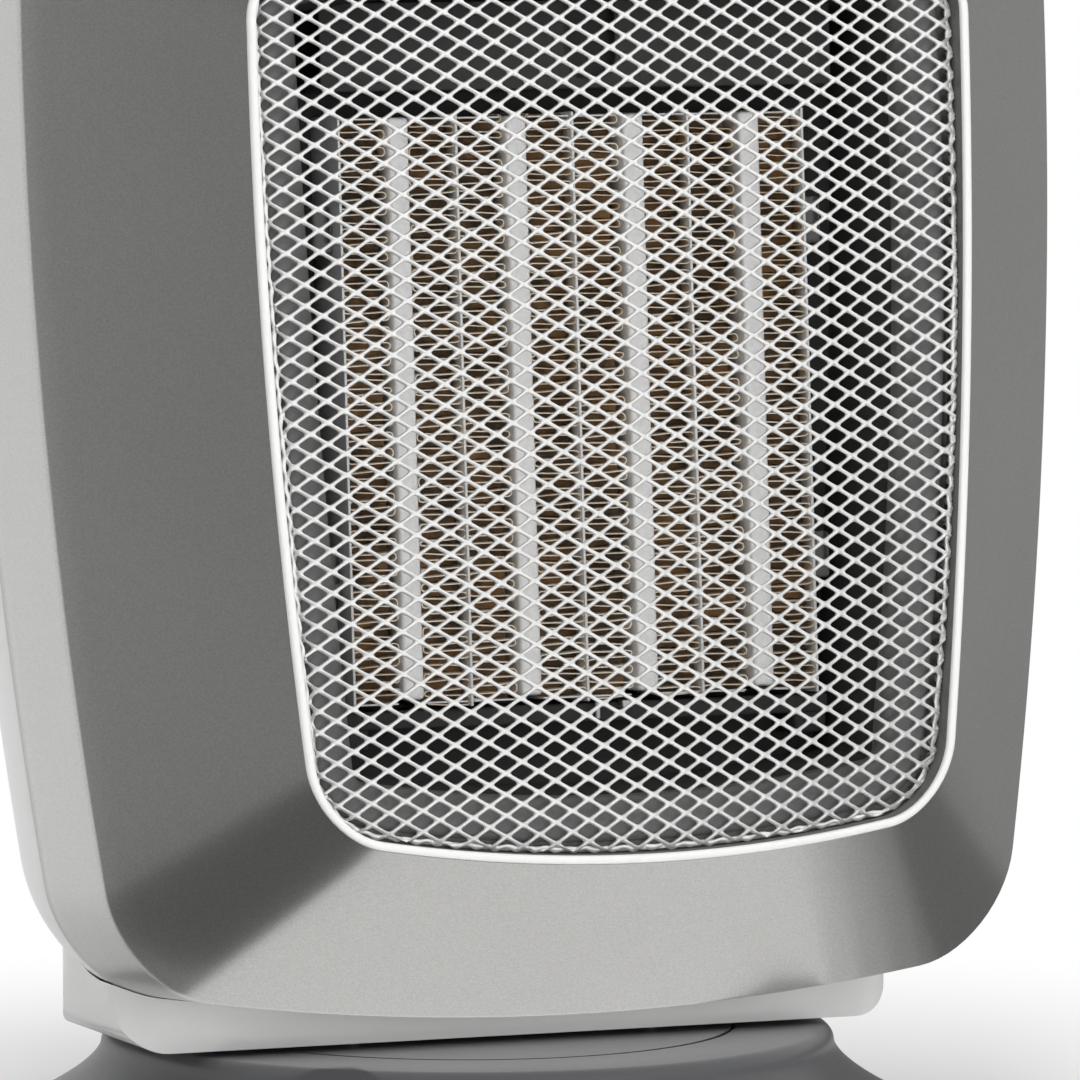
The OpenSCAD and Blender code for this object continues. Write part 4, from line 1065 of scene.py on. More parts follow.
@dataclass
class Core:
    """Four flat tubes, eight corrugated stacks and five plates in a grey funnel."""

    tubes: int = 4
    tube_w: float = 5.6
    tube_face: float = 4.5
    plate_t: float = 0.8
    plate_face: float = 0.6
    fin_w: float = 9.4
    height: float = 117.0
    depth: float = 15.0
    fold: float = 1.5
    strip_t: float = 0.22
    fin_tilt: float = 3.0
    # Depth of the painted-shade strips in the fin gaps.
    louvre_y: float = 4.2
    back: float = -56.0
    holder_y: float = -70.4

    @property
    def pitch(self) -> float:
        """Distance from tube to tube."""
        return self.tube_w + self.plate_t + 2 * self.fin_w

    @property
    def ends(self) -> tuple[float, float]:
        """Z of the core's lower and upper end."""
        return HEAD.core_z - self.height / 2, HEAD.core_z + self.height / 2

    def tube_at(self, i: float) -> float:
        """X of a tube's middle, or with half a count more that of the plate beside it."""
        return (i - (self.tubes - 1) / 2) * self.pitch

    @property
    def gaps(self) -> list[tuple[float, int]]:
        """X of each stack's middle and the side of its tube that it lies on."""
        return [(self.tube_at(i) + side * (self.tube_w + self.fin_w) / 2, side)
                for i in range(self.tubes) for side in (-1, 1)]

    def bars(self) -> None:
        """Makes the tubes with rounded edges and a sunk end, and the thin plates between stacks."""
        (low, high), y = self.ends, HEAD.core_y
        tubes = []
        for i in range(self.tubes):
            x = self.tube_at(i) * 1.01 + 0.6
            tube = Bench.block("tube", (x - self.tube_face / 2, y, low + 0.9),
                               (x + self.tube_face / 2, y + self.depth, high), 0.8, 4)
            Bench.select(tube, lambda normal: abs(normal.z) > 0.9)
            bpy.ops.mesh.inset(thickness=0.7)
            bpy.ops.mesh.extrude_region_move()
            bpy.ops.transform.resize(value=(1, 1, 0.985), center_override=(x, y, HEAD.core_z))
            Bench.select(tube, lambda normal: normal.y < -0.9)
            bpy.ops.mesh.inset(thickness=0.35)
            bpy.ops.transform.translate(value=(0, 0.1, 0))
            tubes.append(tube)
        hand_over(Bench.join("heating_tubes", tubes), "tube_aluminium", ["ptc_tubes"])
        half = self.plate_face / 2
        plates = [Bench.block("plate", (x - half, y - 0.2, low - 0.8),
                              (x + half, y + self.depth, high + 0.7), 0.2, 2)
                  for x in (self.tube_at(i - 0.5) for i in range(self.tubes + 1))]
        half = self.fin_w / 2 - 0.2
        plates += [Bench.block("end_strip", (x - half, y + 0.3, z), (x + half, y + 12, z + 0.35), 0.1, 1)
                   for x, _ in self.gaps for z in (low, high - 0.35)]
        hand_over(Bench.join("core_side_plates", plates), "plate_steel", ["core_plates"])

    def stacked(self, name: str, strip: Piece) -> Piece:
        """Repeats one fold up the core and copies the row to every gap, a little uneven as folded foil is.

        Args:
            name: Name of the piece.
            strip: One fold, at x 0 and height 0.

        Returns:
            All the rows as one piece.
        """
        count = int(self.height / (2 * self.fold))
        Bench.row(strip, count, (0, 0, 2 * self.fold))
        rise = math.tan(math.radians(self.fin_tilt))
        rng = np.random.default_rng(7)
        low = HEAD.core_z - count * self.fold
        stacks = []
        for x0, side in self.gaps:
            stack = Bench.copy(strip)
            phase, lift = rng.uniform(0, 6.28), rng.uniform(-0.3, 0.3)
            for v in stack.data.vertices:
                sway = 0.22 * math.sin(v.co.z * 1.9 + phase) + 0.16 * math.sin(v.co.z * 0.61 + 2 * phase)
                lean = 0.05 * v.co.x * math.sin(v.co.z * 0.83 + phase)
                v.co.x = x0 + side * v.co.x
                v.co.z += low + sway * 0.6 + lean + lift + (v.co.y - HEAD.core_y) * rise
            stacks.append(stack)
        bpy.data.objects.remove(strip)
        return Bench.join(name, stacks)

    def fins(self) -> None:
        """Folds one strip for the stacks, and sets narrow dark brown strips in its gaps as painted shade for
        the dim brown light deep between the folds.
        """
        half, r = self.fin_w / 2 + 0.2, self.fold / 2
        path = [(-half + r, 0.0), (0.0, -0.12), *arc((half - r, r), r, -90, 90, 5),
                (0.0, self.fold + 0.12), *arc((-half + r, 3 * r), r, -90, -270, 5)]
        fins = self.stacked("corrugated_fins",
                            Bench.ribbon("fin_strip", path, HEAD.core_y + 0.5, self.depth - 1.0))
        Bench.apply(fins, "SOLIDIFY", thickness=self.strip_t, offset=0.0, use_rim=True)
        hand_over(fins, "fin_aluminium", ["fin_stacks"], smooth=60)
        # Painted shade: flat strips a little way into each gap, dressed in a dark brown that stands in for
        # the shade and bounce light between the folds.
        clear, deep = self.fold - self.strip_t - 0.16, HEAD.core_y + self.louvre_y
        pair = [Bench.block("louvre", (-half + 0.5, deep, z - clear / 2),
                            (half - 0.5, deep + 0.3, z + clear / 2)) for z in (r, 3 * r)]
        hand_over(self.stacked("fin_louvres", Bench.join("louvres", pair)), "fin_aluminium",
                  finish=GAP_PAINTED_SHADE)

    def duct(self) -> None:
        """Lofts the black duct behind the lip and sets a plate with a window and clips in it."""
        h, (low, high) = HEAD, self.ends
        walk = ((12.6, 12.0), (14.2, 16.0), (15.0, 26.0), (15.0, 40.0),
                (13.4, 40.0), (13.4, 26.0), (12.4, 16.0), (10.8, 12.0))
        half = (self.tubes * self.pitch + self.plate_t) / 2
        duct = Bench.loft("duct", h.opened(walk))
        plate = Bench.slab("plate", h.opening.points(14.2), self.back, 2.5, h.grille_z)
        Bench.cut(plate, Bench.block("window", (-half - 0.2, self.back - 4, low - 0.2),
                                     (half + 0.2, self.back + 6, high + 0.2)))
        hand_over(Bench.join("black_duct", [duct, plate]), "charcoal_plastic", finish=WELL_BLACK)
        clips = []
        for x in (-half - 2.4, half + 2.4):
            for z in (h.core_z - 31.5, h.core_z + 36.5):
                clip = Bench.block("clip", (x - 2.1, -67.2, z - 4.7),
                                   (x + 2.1, self.back + 0.5, z + 4.7), 0.8)
                slot = Bench.block("slot", (x + 0.1, -70, z - 2.6), (x + 1.5, -65.4, z + 6), 0.4)
                clips.append(Bench.cut(clip, slot))
        hand_over(Bench.join("core_clips", clips), "duct_grey")

    def holders(self) -> None:
        """Makes the notched holder above the core, which hides its wiring, and the legged one below."""
        (low, high), front, back = self.ends, self.holder_y, self.back
        apron = Bench.block("apron", (-54, front, high + 5.4), (57, front + 1.0, high + 23), 0.3)
        bed = Bench.block("bed", (-53.8, front + 0.5, high + 5.4), (53.8, back, high + 7.4), 0.3)
        Bench.cut(apron, Bench.rod("notch", (4.2, front - 2, high + 12.2), 5.6, 5.0, along=(0, 1, 0)))
        Bench.cut(apron, Bench.block("mouth", (-1.39, front - 2, high + 12.2),
                                     (9.79, front + 3.0, high + 30)))
        hand_over(Bench.join("core_top_holder", [apron, bed]), "charcoal_plastic", ["core_end_caps"],
                  finish=HOLDER_GREY)
        pieces = [Bench.block("shelf", (-53.8, -67.5, low - 5), (53.8, back, low - 1.2), 0.6)]
        pieces += [Bench.block("leg", (x - 3.5, -67.0, low - 9), (x + 3.5, back, low - 4), 0.6)
                   for x in (-50, 50)]
        hand_over(Bench.join("core_lower_holder", pieces), "charcoal_plastic", finish=WELL_BLACK)
        hand_over(Bench.block("wiring_boot", (-4.5, front + 3.4, high + 7.2),
                              (13, front + 5.0, high + 26), 0.6), "charcoal_plastic", finish=WELL_BLACK)
        tabs = [Bench.block("tab", (1.6, -70, low - 4.4), (2.5, -69.3, low - 0.9), 0.15),
                Bench.block("tab", (7.6, -69.5, low - 2.4), (9.8, -67.2, low - 0.9), 0.2)]
        hand_over(Bench.join("earth_tabs", tabs), "control_metal")

    def build(self) -> None:
        """Makes the core's pieces."""
        for step in (self.bars, self.fins, self.duct, self.holders):
            step()


# ---------------------------------------------------------------- rear housing


@dataclass
class Housing:
    """The white dome behind the bezel, with its intake grille, carrying cup and screws."""

    wall: float = 2.5
    depth: float = 78.8
    side_in: float = 50.0
    end_in: float = 45.0
    lap: float = 2.6
    panel_w: float = 112.0
    panel_front: float = -18.0
    panel_d: float = 31.0
    panel_z: float = 245.3
    panel_t: float = 2.5
    cup_w: float = 92.0
    cup_h: float = 26.0
    cup_front: float = 16.0
    cup_back: float = 96.0
    cup_z: float = 227.8
    cup_wall: float = 2.0
    slot_pitch: float = 6.0
    slot_w: float = 2.8
    slot_rows: int = 9
    slot_end: float = 52.0
    rib: float = 6.0
    screw_x: float = 37.6
    screw_z: float = 63.3
    rear: Shield = Shield(59.6, 79.3, 1300.0, 680.0, 35.5)

    def section(self, share: float, grow: float = 0.0) -> Ring:
        """Gives the dome's outline at one place along it.

        Args:
            share: How far its sides have closed in there.
            grow: How far the outline stands outside the surface.

        Returns:
            Points as rows of X and Z.
        """
        h = HEAD
        return Shield(h.crease.half_w - h.fit - self.side_in * share + grow,
                      h.crease.half_h - h.fit - self.end_in * share + grow,
                      h.crease.side_r, h.crease.end_r, h.crease.corner_r + 14 * share).points()

    @staticmethod
    def closing(depth: float) -> float:
        """Gives how far the dome's sides have closed in.

        Args:
            depth: Share of the dome's depth.

        Returns:
            Share of the closing, along a smooth curve through a few points.
        """
        xs = np.array((0, 0.1, 0.25, 0.42, 0.58, 0.72, 0.84, 0.93, 1))
        ys = np.array((0, 0.01, 0.06, 0.16, 0.3, 0.46, 0.64, 0.82, 1))
        slope = np.gradient(ys, xs)
        i = min(int(np.searchsorted(xs, depth, "right")) - 1, len(xs) - 2)
        w = xs[i + 1] - xs[i]
        t = (depth - xs[i]) / w
        return float((2 * t ** 3 - 3 * t ** 2 + 1) * ys[i] + (t ** 3 - 2 * t ** 2 + t) * w * slope[i]
                     + (3 * t ** 2 - 2 * t ** 3) * ys[i + 1] + (t ** 3 - t ** 2) * w * slope[i + 1])

    def stations(self, grow: float, set_in: float, steps: int) -> list[Ring]:
        """Walks along the dome from its front edge to its rear rim.

        Args:
            grow: How far the walk runs outside the dome's surface.
            set_in: How far the rear end is drawn forward.
            steps: Gaps between stations.

        Returns:
            The stations.
        """
        h, rings = HEAD, []
        for k in range(steps + 1):
            t = math.sin(math.pi / 2 * k / steps)
            share = self.closing(t)
            rings.append(h.station(self.section(share, grow),
                                   h.band_y + h.fit + t * self.depth - set_in * share))
        return rings

    def dome(self, grow: float) -> Piece:
        """Makes the dome's form as a solid, to cut other pieces with."""
        return Bench.loft("dome", self.stations(grow, 0.0, 20), Ends.CAPPED)

    def cup_box(self, name: str, grow: float, back: float, round_mm: float) -> Piece:
        """Makes a box as big as the carrying cup or larger.

        Args:
            name: Name of the piece.
            grow: How far it stands out beyond the cup.
            back: Y of its rear face.
            round_mm: Radius of its edges.

        Returns:
            The box.
        """
        w, h = self.cup_w / 2 + grow, self.cup_h / 2 + grow
        return Bench.block(name, (-w, self.cup_front - grow, self.cup_z - h),
                           (w, back, self.cup_z + h), round_mm, 5)

    def panel_box(self, name: str, grow: float, low: float, high: float, round_mm: float = 0.0) -> Piece:
        """Makes a box as big as the control panel seen from above, or larger.

        Args:
            name: Name of the piece.
            grow: How far it stands out beyond the panel.
            low: Z of its underside.
            high: Z of its top.
            round_mm: Radius of its edges.

        Returns:
            The box.
        """
        w, front = self.panel_w / 2 + grow, self.panel_front
        return Bench.block(name, (-w, front - grow, low), (w, front + self.panel_d + grow, high), round_mm)

    def shell(self) -> None:
        """Lofts the dome's wall, adds the panel's well and cuts its openings."""
        h = HEAD
        outer, inner = self.stations(0.0, 0.0, 32), self.stations(-self.wall, self.wall, 20)
        start, z = h.band_y + h.fit, self.panel_z
        nose = h.creased([(h.fit + 0.45, start), (h.fit + 0.12, start + 0.12)])
        outer[0] = h.station(self.section(0.0), start + 0.45)
        middle = (outer[-1] + inner[-1]) / 2
        middle[:, 1] = outer[-1][0, 1] + 0.45
        tongue = h.creased([(self.lap + self.wall, h.band_y - 8), (self.lap, h.band_y - 8),
                            (self.lap, start)])
        shell = Bench.loft("rear_dome", nose + outer + [middle] + inner[::-1] + tongue)
        low = z - self.panel_t
        well = self.panel_box("well", h.fit + self.wall, low - 2, low + 38)
        Bench.cut(well, self.dome(-self.wall / 4), "INTERSECT")
        Bench.cut(shell, well, "UNION")
        Bench.cut(shell, self.panel_box("opening", h.fit, low, z + 40))
        Bench.cut(shell, self.panel_box("opening", -3, z - 14, z + 20))
        Bench.cut(shell, Bench.block("opening", (-60, -18, -20), (60, 36, 30)))
        Bench.cut(shell, self.cup_box("scoop", h.fit, self.cup_back, 3.0))
        hand_over(shell, "white_gloss", ["rear_housing"], smooth=32)

    def cup(self) -> None:
        """Hollows the carrying cup and trims it to the dome."""
        cup = self.cup_box("carrying_cup", 0.0, self.cup_back, 2.9)
        Bench.cut(cup, self.dome(-self.wall / 4), "INTERSECT")
        Bench.cut(cup, self.cup_box("hollow", -self.cup_wall, self.cup_back + 14, 2.2))
        hand_over(cup, "white_gloss", ["handle_cup"], smooth=35)

    def grille(self) -> None:
        """Cuts two columns of round-ended slots into the intake plate."""
        h, r = HEAD, self.slot_w / 2
        walk = arc((self.rib / 2 + r, 0), r, 90, 270, 12) + arc((self.slot_end - r, 0), r, -90, 90, 12)
        bar = Bench.slab("slot", np.array(walk), 50.0, 12.0, h.grille_z - self.slot_rows * self.slot_pitch)
        Bench.row(bar, 2 * self.slot_rows + 1, (0, 0, self.slot_pitch))
        other = Bench.copy(bar, Matrix.Scale(-1, 4, (1, 0, 0)))
        other.data.flip_normals()
        bars = Bench.join("slots", [bar, other])
        Bench.cut(bars, Bench.slab("edge", self.rear.points(6.0), 45.0, 20.0, h.grille_z), "INTERSECT")
        plate = Bench.slab("intake_plate", self.rear.points(h.fit), h.dome_y - 3.0, 3.0, h.grille_z)
        Bench.bevel(plate, 0.5)
        hand_over(Bench.cut(plate, bars), "white_satin", ["intake_grille"], smooth=35)

    def screws(self) -> None:
        """Turns one pan-head screw with a cross recess and copies it to the four corners."""
        r, h, shank, length = 3.0, 2.0, 1.5, 13.0
        profile = [(0.0, -length), (shank * 0.6, -length), (shank, -length + 1), (shank, 0), (r, 0),
                   (r, h * 0.45), (r * 0.93, h * 0.72), (r * 0.74, h * 0.92), (r * 0.4, h), (0.0, h)]
        screw = Bench.turn("housing_screw", profile, 32)
        for w, d in ((0.55, 0.2), (0.2, 0.55)):
            Bench.cut(screw, Bench.block("slot", (-r * w, -r * d, h * 0.45), (r * w, r * d, h * 2), 0.12, 2))
        places = [Matrix.Translation((x * self.screw_x, HEAD.dome_y, HEAD.grille_z + z * self.screw_z))
                  @ Matrix.Rotation(math.radians(-90), 4, "X") @ Matrix.Rotation(turn, 4, "Z")
                  for x, z, turn in ((-1, -1, 0.3), (1, -1, 1.1), (-1, 1, 0.7), (1, 1, 0.1))]
        hand_over(Bench.repeat("corner_screws", screw, places), "plated_steel", ["housing_screws"])

    def build(self) -> None:
        """Makes the dome and what is set into it."""
        for step in (self.shell, self.cup, self.grille, self.screws):
            step()


# ---------------------------------------------------------------- controls


@dataclass
class Controls:
    """The sunk panel with its two knobs, its button and its lamp."""

    y: float = -3.0
    knob_x: float = 34.0
    knob_r: float = 13.5
    knob_h: float = 13.0
    flutes: int = 20
    gap: float = 0.5
    button_r: float = 7.0
    button_h: float = 3.5
    lamp_y: float = 7.4
    lens_r: float = 1.8
    housing: Housing = field(default_factory=Housing)

    @property
    def top(self) -> float:
        """Height of the panel's face."""
        return self.housing.panel_z

    def panel(self) -> None:
        """Cuts the panel's holes and eases its edges."""
        g = self.housing
        panel = g.panel_box("panel", 0.0, self.top - g.panel_t, self.top, 0.6)
        for x, y, r in ((-self.knob_x, self.y, 3.2), (self.knob_x, self.y, 3.2),
                        (0, self.y, self.button_r + 0.2), (0, self.lamp_y, self.lens_r + 0.1)):
            Bench.cut(panel, Bench.rod("hole", (x, y, self.top - 6), r, 12))
        hand_over(panel, "charcoal_plastic", ["control_panel"])

    def marks(self) -> None:
        """Prints plain dial marks: ticks round the thermostat and dots beside the selector."""
        marks = []
        for k in range(-6, 7):
            for half_turn in (math.pi, 0):
                tick = Bench.block("tick", (-0.8, -0.2, -0.02), (0.8 if k % 3 else 1.3, 0.2, 0.06), 0.03, 1)
                tick.data.transform(Matrix.Translation((self.knob_x, self.y, self.top))
                                    @ Matrix.Rotation(math.radians(k * 12.5) + half_turn, 4, "Z")
                                    @ Matrix.Translation((15.6, 0, 0)))
                marks.append(tick)
        for side, dy, count in ((-1, 5, 1), (-1, -5, 2), (1, 5, 3), (1, -5, 1)):
            marks += [Bench.rod("dot", (-self.knob_x + side * 17.0, self.y + dy + 1.8 * k, self.top - 0.02),
                                0.55, 0.08, 20) for k in range(count)]
        hand_over(Bench.join("dial_marks", marks), "white_satin")

    def knob(self, name: str, x: float) -> None:
        """Lofts a fluted knob with a domed cap, a spindle and a pointer.

        Args:
            name: The knob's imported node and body.
            x: Where its axis stands.
        """
        turn = np.linspace(0, 2 * math.pi, self.flutes * 10, endpoint=False)
        rim, body, top = self.knob_r, self.knob_r - 2, self.knob_h
        steps = ((3.0, -10.5, 0), (3.0, 0, 0), (rim - 0.6, 0, 0), (rim - 0.1, 0.4, 0), (rim, 0.9, 0),
                 (rim - 0.1, 1.5, 0), (rim - 0.5, 1.9, 0), (body + 0.5, 2.1, 0), (body, 2.5, 0.3),
                 (body, 3.2, 0.9), (body - 0.15, top - 3.0, 0.9), (body - 0.4, top - 2.0, 0.8),
                 (body - 1.0, top - 1.3, 0.45), (body - 1.7, top - 0.9, 0.1), (body - 2.6, top - 0.75, 0),
                 (3.0, top - 0.6, 0))
        rings = []
        for r, z, flute in steps:
            out = r - flute * np.maximum(np.cos(turn * self.flutes), 0) ** 0.7
            rings.append(np.stack([out * np.cos(turn), out * np.sin(turn), np.full(len(turn), z)], axis=1))
        place = HEAD.matrix() @ Matrix.Translation((x, self.y, self.top + self.gap))
        hand_over(Bench.loft(name + "_cap", rings, Ends.CAPPED), "white_satin", [name], name,
                  place=place, smooth=45)
        bar = Bench.block(name + "_pointer", (-1.0, 1.5, top - 1.4), (1.0, body - 1.6, top + 0.5), 0.45)
        hand_over(bar, "charcoal_plastic", body=name, place=place)

    def button(self) -> None:
        """Turns the push button with a dished face, and the lamp's lens."""
        z, r, q = self.top, self.button_r, self.lens_r
        low, high = z - self.button_h, z + self.button_h
        profile = [(0, low - 7), (2.5, low - 7), (2.5, low), (r, low), (r, high - 0.9),
                   (r - 0.25, high - 0.3), (r - 0.8, high), (r - 1.6, high - 0.1),
                   (r * 0.4, high - 0.55), (0, high - 0.6)]
        button = Bench.turn("swing_push_button", profile, 64, (0.0, self.y))
        hand_over(button, "white_satin", ["swing_button"], "swing_button")
        profile = [(0, z - 3.2), (q, z - 3.2), (q, z + 0.1), (q * 0.92, z + 0.5), (q * 0.7, z + 0.85),
                   (q * 0.35, z + 1.0), (0, z + 1.05)]
        hand_over(Bench.turn("lamp_window", profile, 40, (0.0, self.lamp_y)), "lens_red", ["lamp_lens"])

    def build(self) -> None:
        """Makes the panel and what stands in it."""
        self.panel()
        self.marks()
        self.knob("selector_knob", -self.knob_x)
        self.knob("thermostat_knob", self.knob_x)
        self.button()


# ---------------------------------------------------------------- neck and pedestal


@dataclass
class Neck:
    """The white turning neck, in the frame's own upright millimetres."""

    width: float = 172.0
    front: float = 27.0
    back: float = 40.0
    corner: float = 10.0
    rear_corner: float = 38.0
    floor_z: float = 26.0
    height: float = 46.0
    wall: float = 2.5

    def plan(self, inset: float) -> list[Point]:
        """Walks round the neck as seen from above.

        Args:
            inset: How far inside its face the walk runs.

        Returns:
            Points as X and Y.
        """
        half, walk = self.width / 2, []
        for side, y, r, first, steps in ((1, self.back - self.rear_corner, self.rear_corner, 0, 24),
                                         (-1, self.back - self.rear_corner, self.rear_corner, 90, 24),
                                         (-1, self.corner - self.front, self.corner, 180, 12),
                                         (1, self.corner - self.front, self.corner, 270, 12)):
            walk += arc((side * (half - r), y), r - inset, first, first + 90, steps)
        return walk

    def block(self, inset: float) -> Piece:
        """Makes the neck's block: its plan, with rounded lower edges at its sides.

        Args:
            inset: How far inside the neck's face it lies.

        Returns:
            The block.
        """
        low, w, r = self.floor_z + inset, self.width / 2 - inset, self.corner - inset
        rings = [np.array([(x, y, z) for x, y in self.plan(inset)])
                 for z in (low, self.floor_z + self.height)]
        body = Bench.loft("neck_shell", rings, Ends.CAPPED)
        left = arc((-w + r, low + r), r, 180, 270, 10)
        outline = np.array(left + [(-x, z) for x, z in reversed(left)] + [(w, 90.0), (-w, 90.0)])
        return Bench.cut(body, Bench.slab("sides", outline, -60.0, 120.0), "INTERSECT")

    def build(self) -> None:
        """Hollows the block, trims it under the head and drills its floor."""
        h, shell = HEAD, self.block(0.0)
        Bench.bevel(shell, 1.0)
        Bench.cut(shell, self.block(self.wall))
        bezel = Bench.loft("bezel_form", h.creased([(-h.fit, h.crease_y), (-h.fit, h.band_y + 0.4)]),
                           Ends.CAPPED)
        for form in (bezel, Housing().dome(2 * h.fit)):
            form.data.transform(Matrix.Scale(1 / MM, 4) @ h.matrix())
            Bench.cut(shell, form)
        for x, r in ((0, 16.2), (43.75, 10.5)):
            Bench.cut(shell, Bench.rod("hole", (x, 0, self.floor_z - 2), r, self.wall + 4, 64))
        hand_over(shell, "white_gloss", ["neck"], place=BASE_PLACE, smooth=35)


@dataclass
class Pedestal:
    """The round grey base with its feet and grommet, in the frame's own upright millimetres."""

    base_r: float = 94.0
    top_r: float = 76.0
    height: float = 25.0
    edge: float = 3.0
    lip_z: float = 8.0
    foot_gap: float = 2.0
    wall: float = 2.5
    recess_r: float = 55.25
    recess_z: float = 15.0
    post_r: float = 8.5
    foot_at: float = 78.0
    foot_r: float = 8.0
    grommet_z: float = 13.0
    grommet_end: float = 85.88
    grommet_l: float = 14.0
    bore: float = 3.7

    def flank(self, inset: float) -> list[Point]:
        """Rounds the top edge and runs down the pedestal's hollow flank to its lip.

        Args:
            inset: How far inside the face the walk runs.

        Returns:
            Radius and height of each point.
        """
        top, e = self.height - self.edge, self.edge
        flare = [(self.top_r - inset + (self.base_r - self.top_r) * t ** 1.6, top + (self.lip_z - top) * t)
                 for t in (k / 24 for k in range(1, 25))]
        return arc((self.top_r - e, top), e - inset, 90, 0, 8) + flare

    def shell(self) -> None:
        """Turns the pedestal's moulding with its recess and hollow post."""
        w, low, high, r = self.wall, self.foot_gap, self.height, self.recess_r
        floor = self.recess_z - w
        foot = [(self.base_r, low + 0.7), (self.base_r - 0.2, low + 0.2), (self.base_r - 0.7, low),
                (self.base_r - w, low)]
        rim = [(r, self.recess_z), (r, high - 0.7), (r + 0.2, high - 0.2), (r + 0.7, high)]
        post = [(self.post_r, floor), (self.post_r, 38.2), (12, 38.2), (12, 21.1), (19, 21.1),
                (19, self.recess_z)]
        profile = (post + rim + self.flank(0.0) + foot + self.flank(w)[::-1]
                   + [(r + w, high - w), (r + w, floor), (self.post_r, floor)])
        shell = Bench.turn("pedestal_shell", profile, 144)
        Bench.cut(shell, Bench.rod("hole", (0, 60, self.grommet_z), 6.5, 50, along=(0, 1, 0)))
        hand_over(shell, "base_grey", ["base_shell"], "base", place=BASE_PLACE, smooth=35)

    def feet(self) -> None:
        """Turns one rubber foot and copies it to four places."""
        r = self.foot_r
        foot = Bench.turn("foot", [(0, 0.3), (r * 0.6, 0.3), (r * 0.68, 0), (r - 1.2, 0), (r - 0.4, 0.3),
                                   (r, 1.0), (r, 3.0), (0, 3.0)], 48)
        places = [Matrix.Rotation(math.radians(45 + 90 * k), 4, "Z")
                  @ Matrix.Translation((self.foot_at, 0, 0)) for k in range(4)]
        hand_over(Bench.repeat("rubber_feet_set", foot, places), "foot_rubber", ["rubber_feet"], "base",
                  place=BASE_PLACE)

    def grommet(self) -> None:
        """Turns the cord grommet with three outer ribs and lays it along Y."""
        bore, end, out = self.bore, self.grommet_l, 6.3
        profile = [(bore, 0.0), (bore, end - 0.6), (bore + 0.5, end), (5.4, end), (6.1, end - 0.4),
                   (out, end - 1.0)]
        for z in (end - 2.6 - 2.2 * k for k in range(3)):
            profile += [(out, z + 0.5), (5.7, z + 0.2), (5.7, z - 0.5), (out, z - 0.8)]
        grommet = Bench.turn("ribbed_grommet", profile + [(out, 0.6), (5.8, 0.0), (bore, 0.0)], 64)
        grommet.data.transform(Matrix.Translation((0, self.grommet_end - end, self.grommet_z))
                               @ Matrix.Rotation(math.radians(-90), 4, "X"))
        hand_over(grommet, "grommet_plastic", ["cord_grommet"], "base", place=BASE_PLACE)

    def build(self) -> None:
        """Makes the pedestal's pieces."""
        for step in (self.shell, self.feet, self.grommet):
            step()


# ---------------------------------------------------------------- stage


@dataclass(frozen=True)
class Card:
    """A glowing card beside the heater, in metres, that only reflections show: a painted reflection, not a
    lamp.
    """

    corners: tuple[Point, ...]
    tone: float

    @classmethod
    def standing(cls, tone: float, start: Point, end: Point, height: float) -> "Card":
        """Stands an upright card between two points of the floor."""
        return cls(((*start, 0), (*end, 0), (*end, height), (*start, height)), tone)

    @classmethod
    def lying(cls, tone: float, z: float, *corners: Point) -> "Card":
        """Lays a card over the floor.

        Args:
            tone: How bright it is.
            z: Its height.
            *corners: Its corners, or the front left and back right ones of a rectangle.

        Returns:
            The card.
        """
        if len(corners) == 2:
            (left, front), (right, back) = corners
            corners = ((left, front), (right, front), (right, back), (left, back))
        return cls(tuple((x, y, z) for x, y in corners), tone)


class Cards(Enum):
    """The cards round the heater, all painted reflections: greys at its sides, darker ones for the shadowed
    floor and base near its foot, and white under its front for lit floor.
    """

    LEFT_WALL = Card.standing(0.25, (-0.8, -1.6), (-0.8, -0.13), 1.6)
    LEFT_FLOOR = Card.lying(0.3, 0.026, (-0.7, -1.2), (-0.045, -0.05))
    # Painted reflection of the shadowed floor and dark base at the lower left.
    LEFT_NEAR = Card.lying(0.145, 0.0265, (-0.22, -0.5), (-0.045, -0.5), (-0.045, -0.1), (-0.075, -0.066),
                           (-0.22, -0.066))
    RIGHT_WALL = Card.standing(0.385, (1.1, -0.5), (0.35, 0.9), 1.3)
    RIGHT_FLOOR = Card.lying(0.345, 0.026, (0.07, -0.5), (0.9, 0.9))
    RIGHT_NEAR = Card.lying(0.2, 0.0265, (0.088, -0.3), (0.19, 0.0))
    # Painted reflection in steps, darkening the bezel's lower right face from white towards shade.
    RIGHT_DIM = Card.lying(0.29, 0.0267, (0.087, -0.3), (0.095, -0.02))
    RIGHT_SHADE = Card.lying(0.4, 0.0267, (0.079, -0.3), (0.087, -0.02))
    RIGHT_SOFT = Card.lying(0.55, 0.0267, (0.071, -0.3), (0.079, -0.02))
    RIGHT_EDGE = Card.lying(0.75, 0.0267, (0.063, -0.3), (0.071, -0.02))
    WHITE_FRONT = Card.lying(1.0, 0.0268, (-0.05, -0.35), (0.063, -0.35), (0.063, -0.03), (-0.088, -0.03),
                             (-0.085, -0.056), (-0.078, -0.068), (-0.066, -0.083), (-0.056, -0.094),
                             (-0.05, -0.12))
    # Painted reflection of the shadow round the foot, seen in the bezel's lower face.
    FOOT_SHADE = Card.lying(0.42, 0.0271, (0.034, -0.045), (0.038, -0.052), (0.05, -0.057), (0.06, -0.055),
                            (0.064, -0.047), (0.06, -0.034), (0.04, -0.034))


@dataclass(frozen=True)
class Lamp:
    """A square soft lamp, in metres and watts, that shiny pieces don't mirror."""

    place: Point
    target: Point
    size: float
    power: float


class Lamps(Enum):
    """The lamps round the heater."""

    KEY = Lamp((-0.9, -1.9, 1.7), (0, 0, 0.12), 0.55, 17.5)
    SIDE = Lamp((0.9, -1.7, 1.2), (0, 0, 0.12), 0.9, 8.2)
    TOP = Lamp((0.0, 0.2, 2.2), (0, 0, 0.1), 1.5, 19.0)
    LOW = Lamp((0.1, -1.8, 0.2), (0, 0, 0.05), 0.6, 8.0)


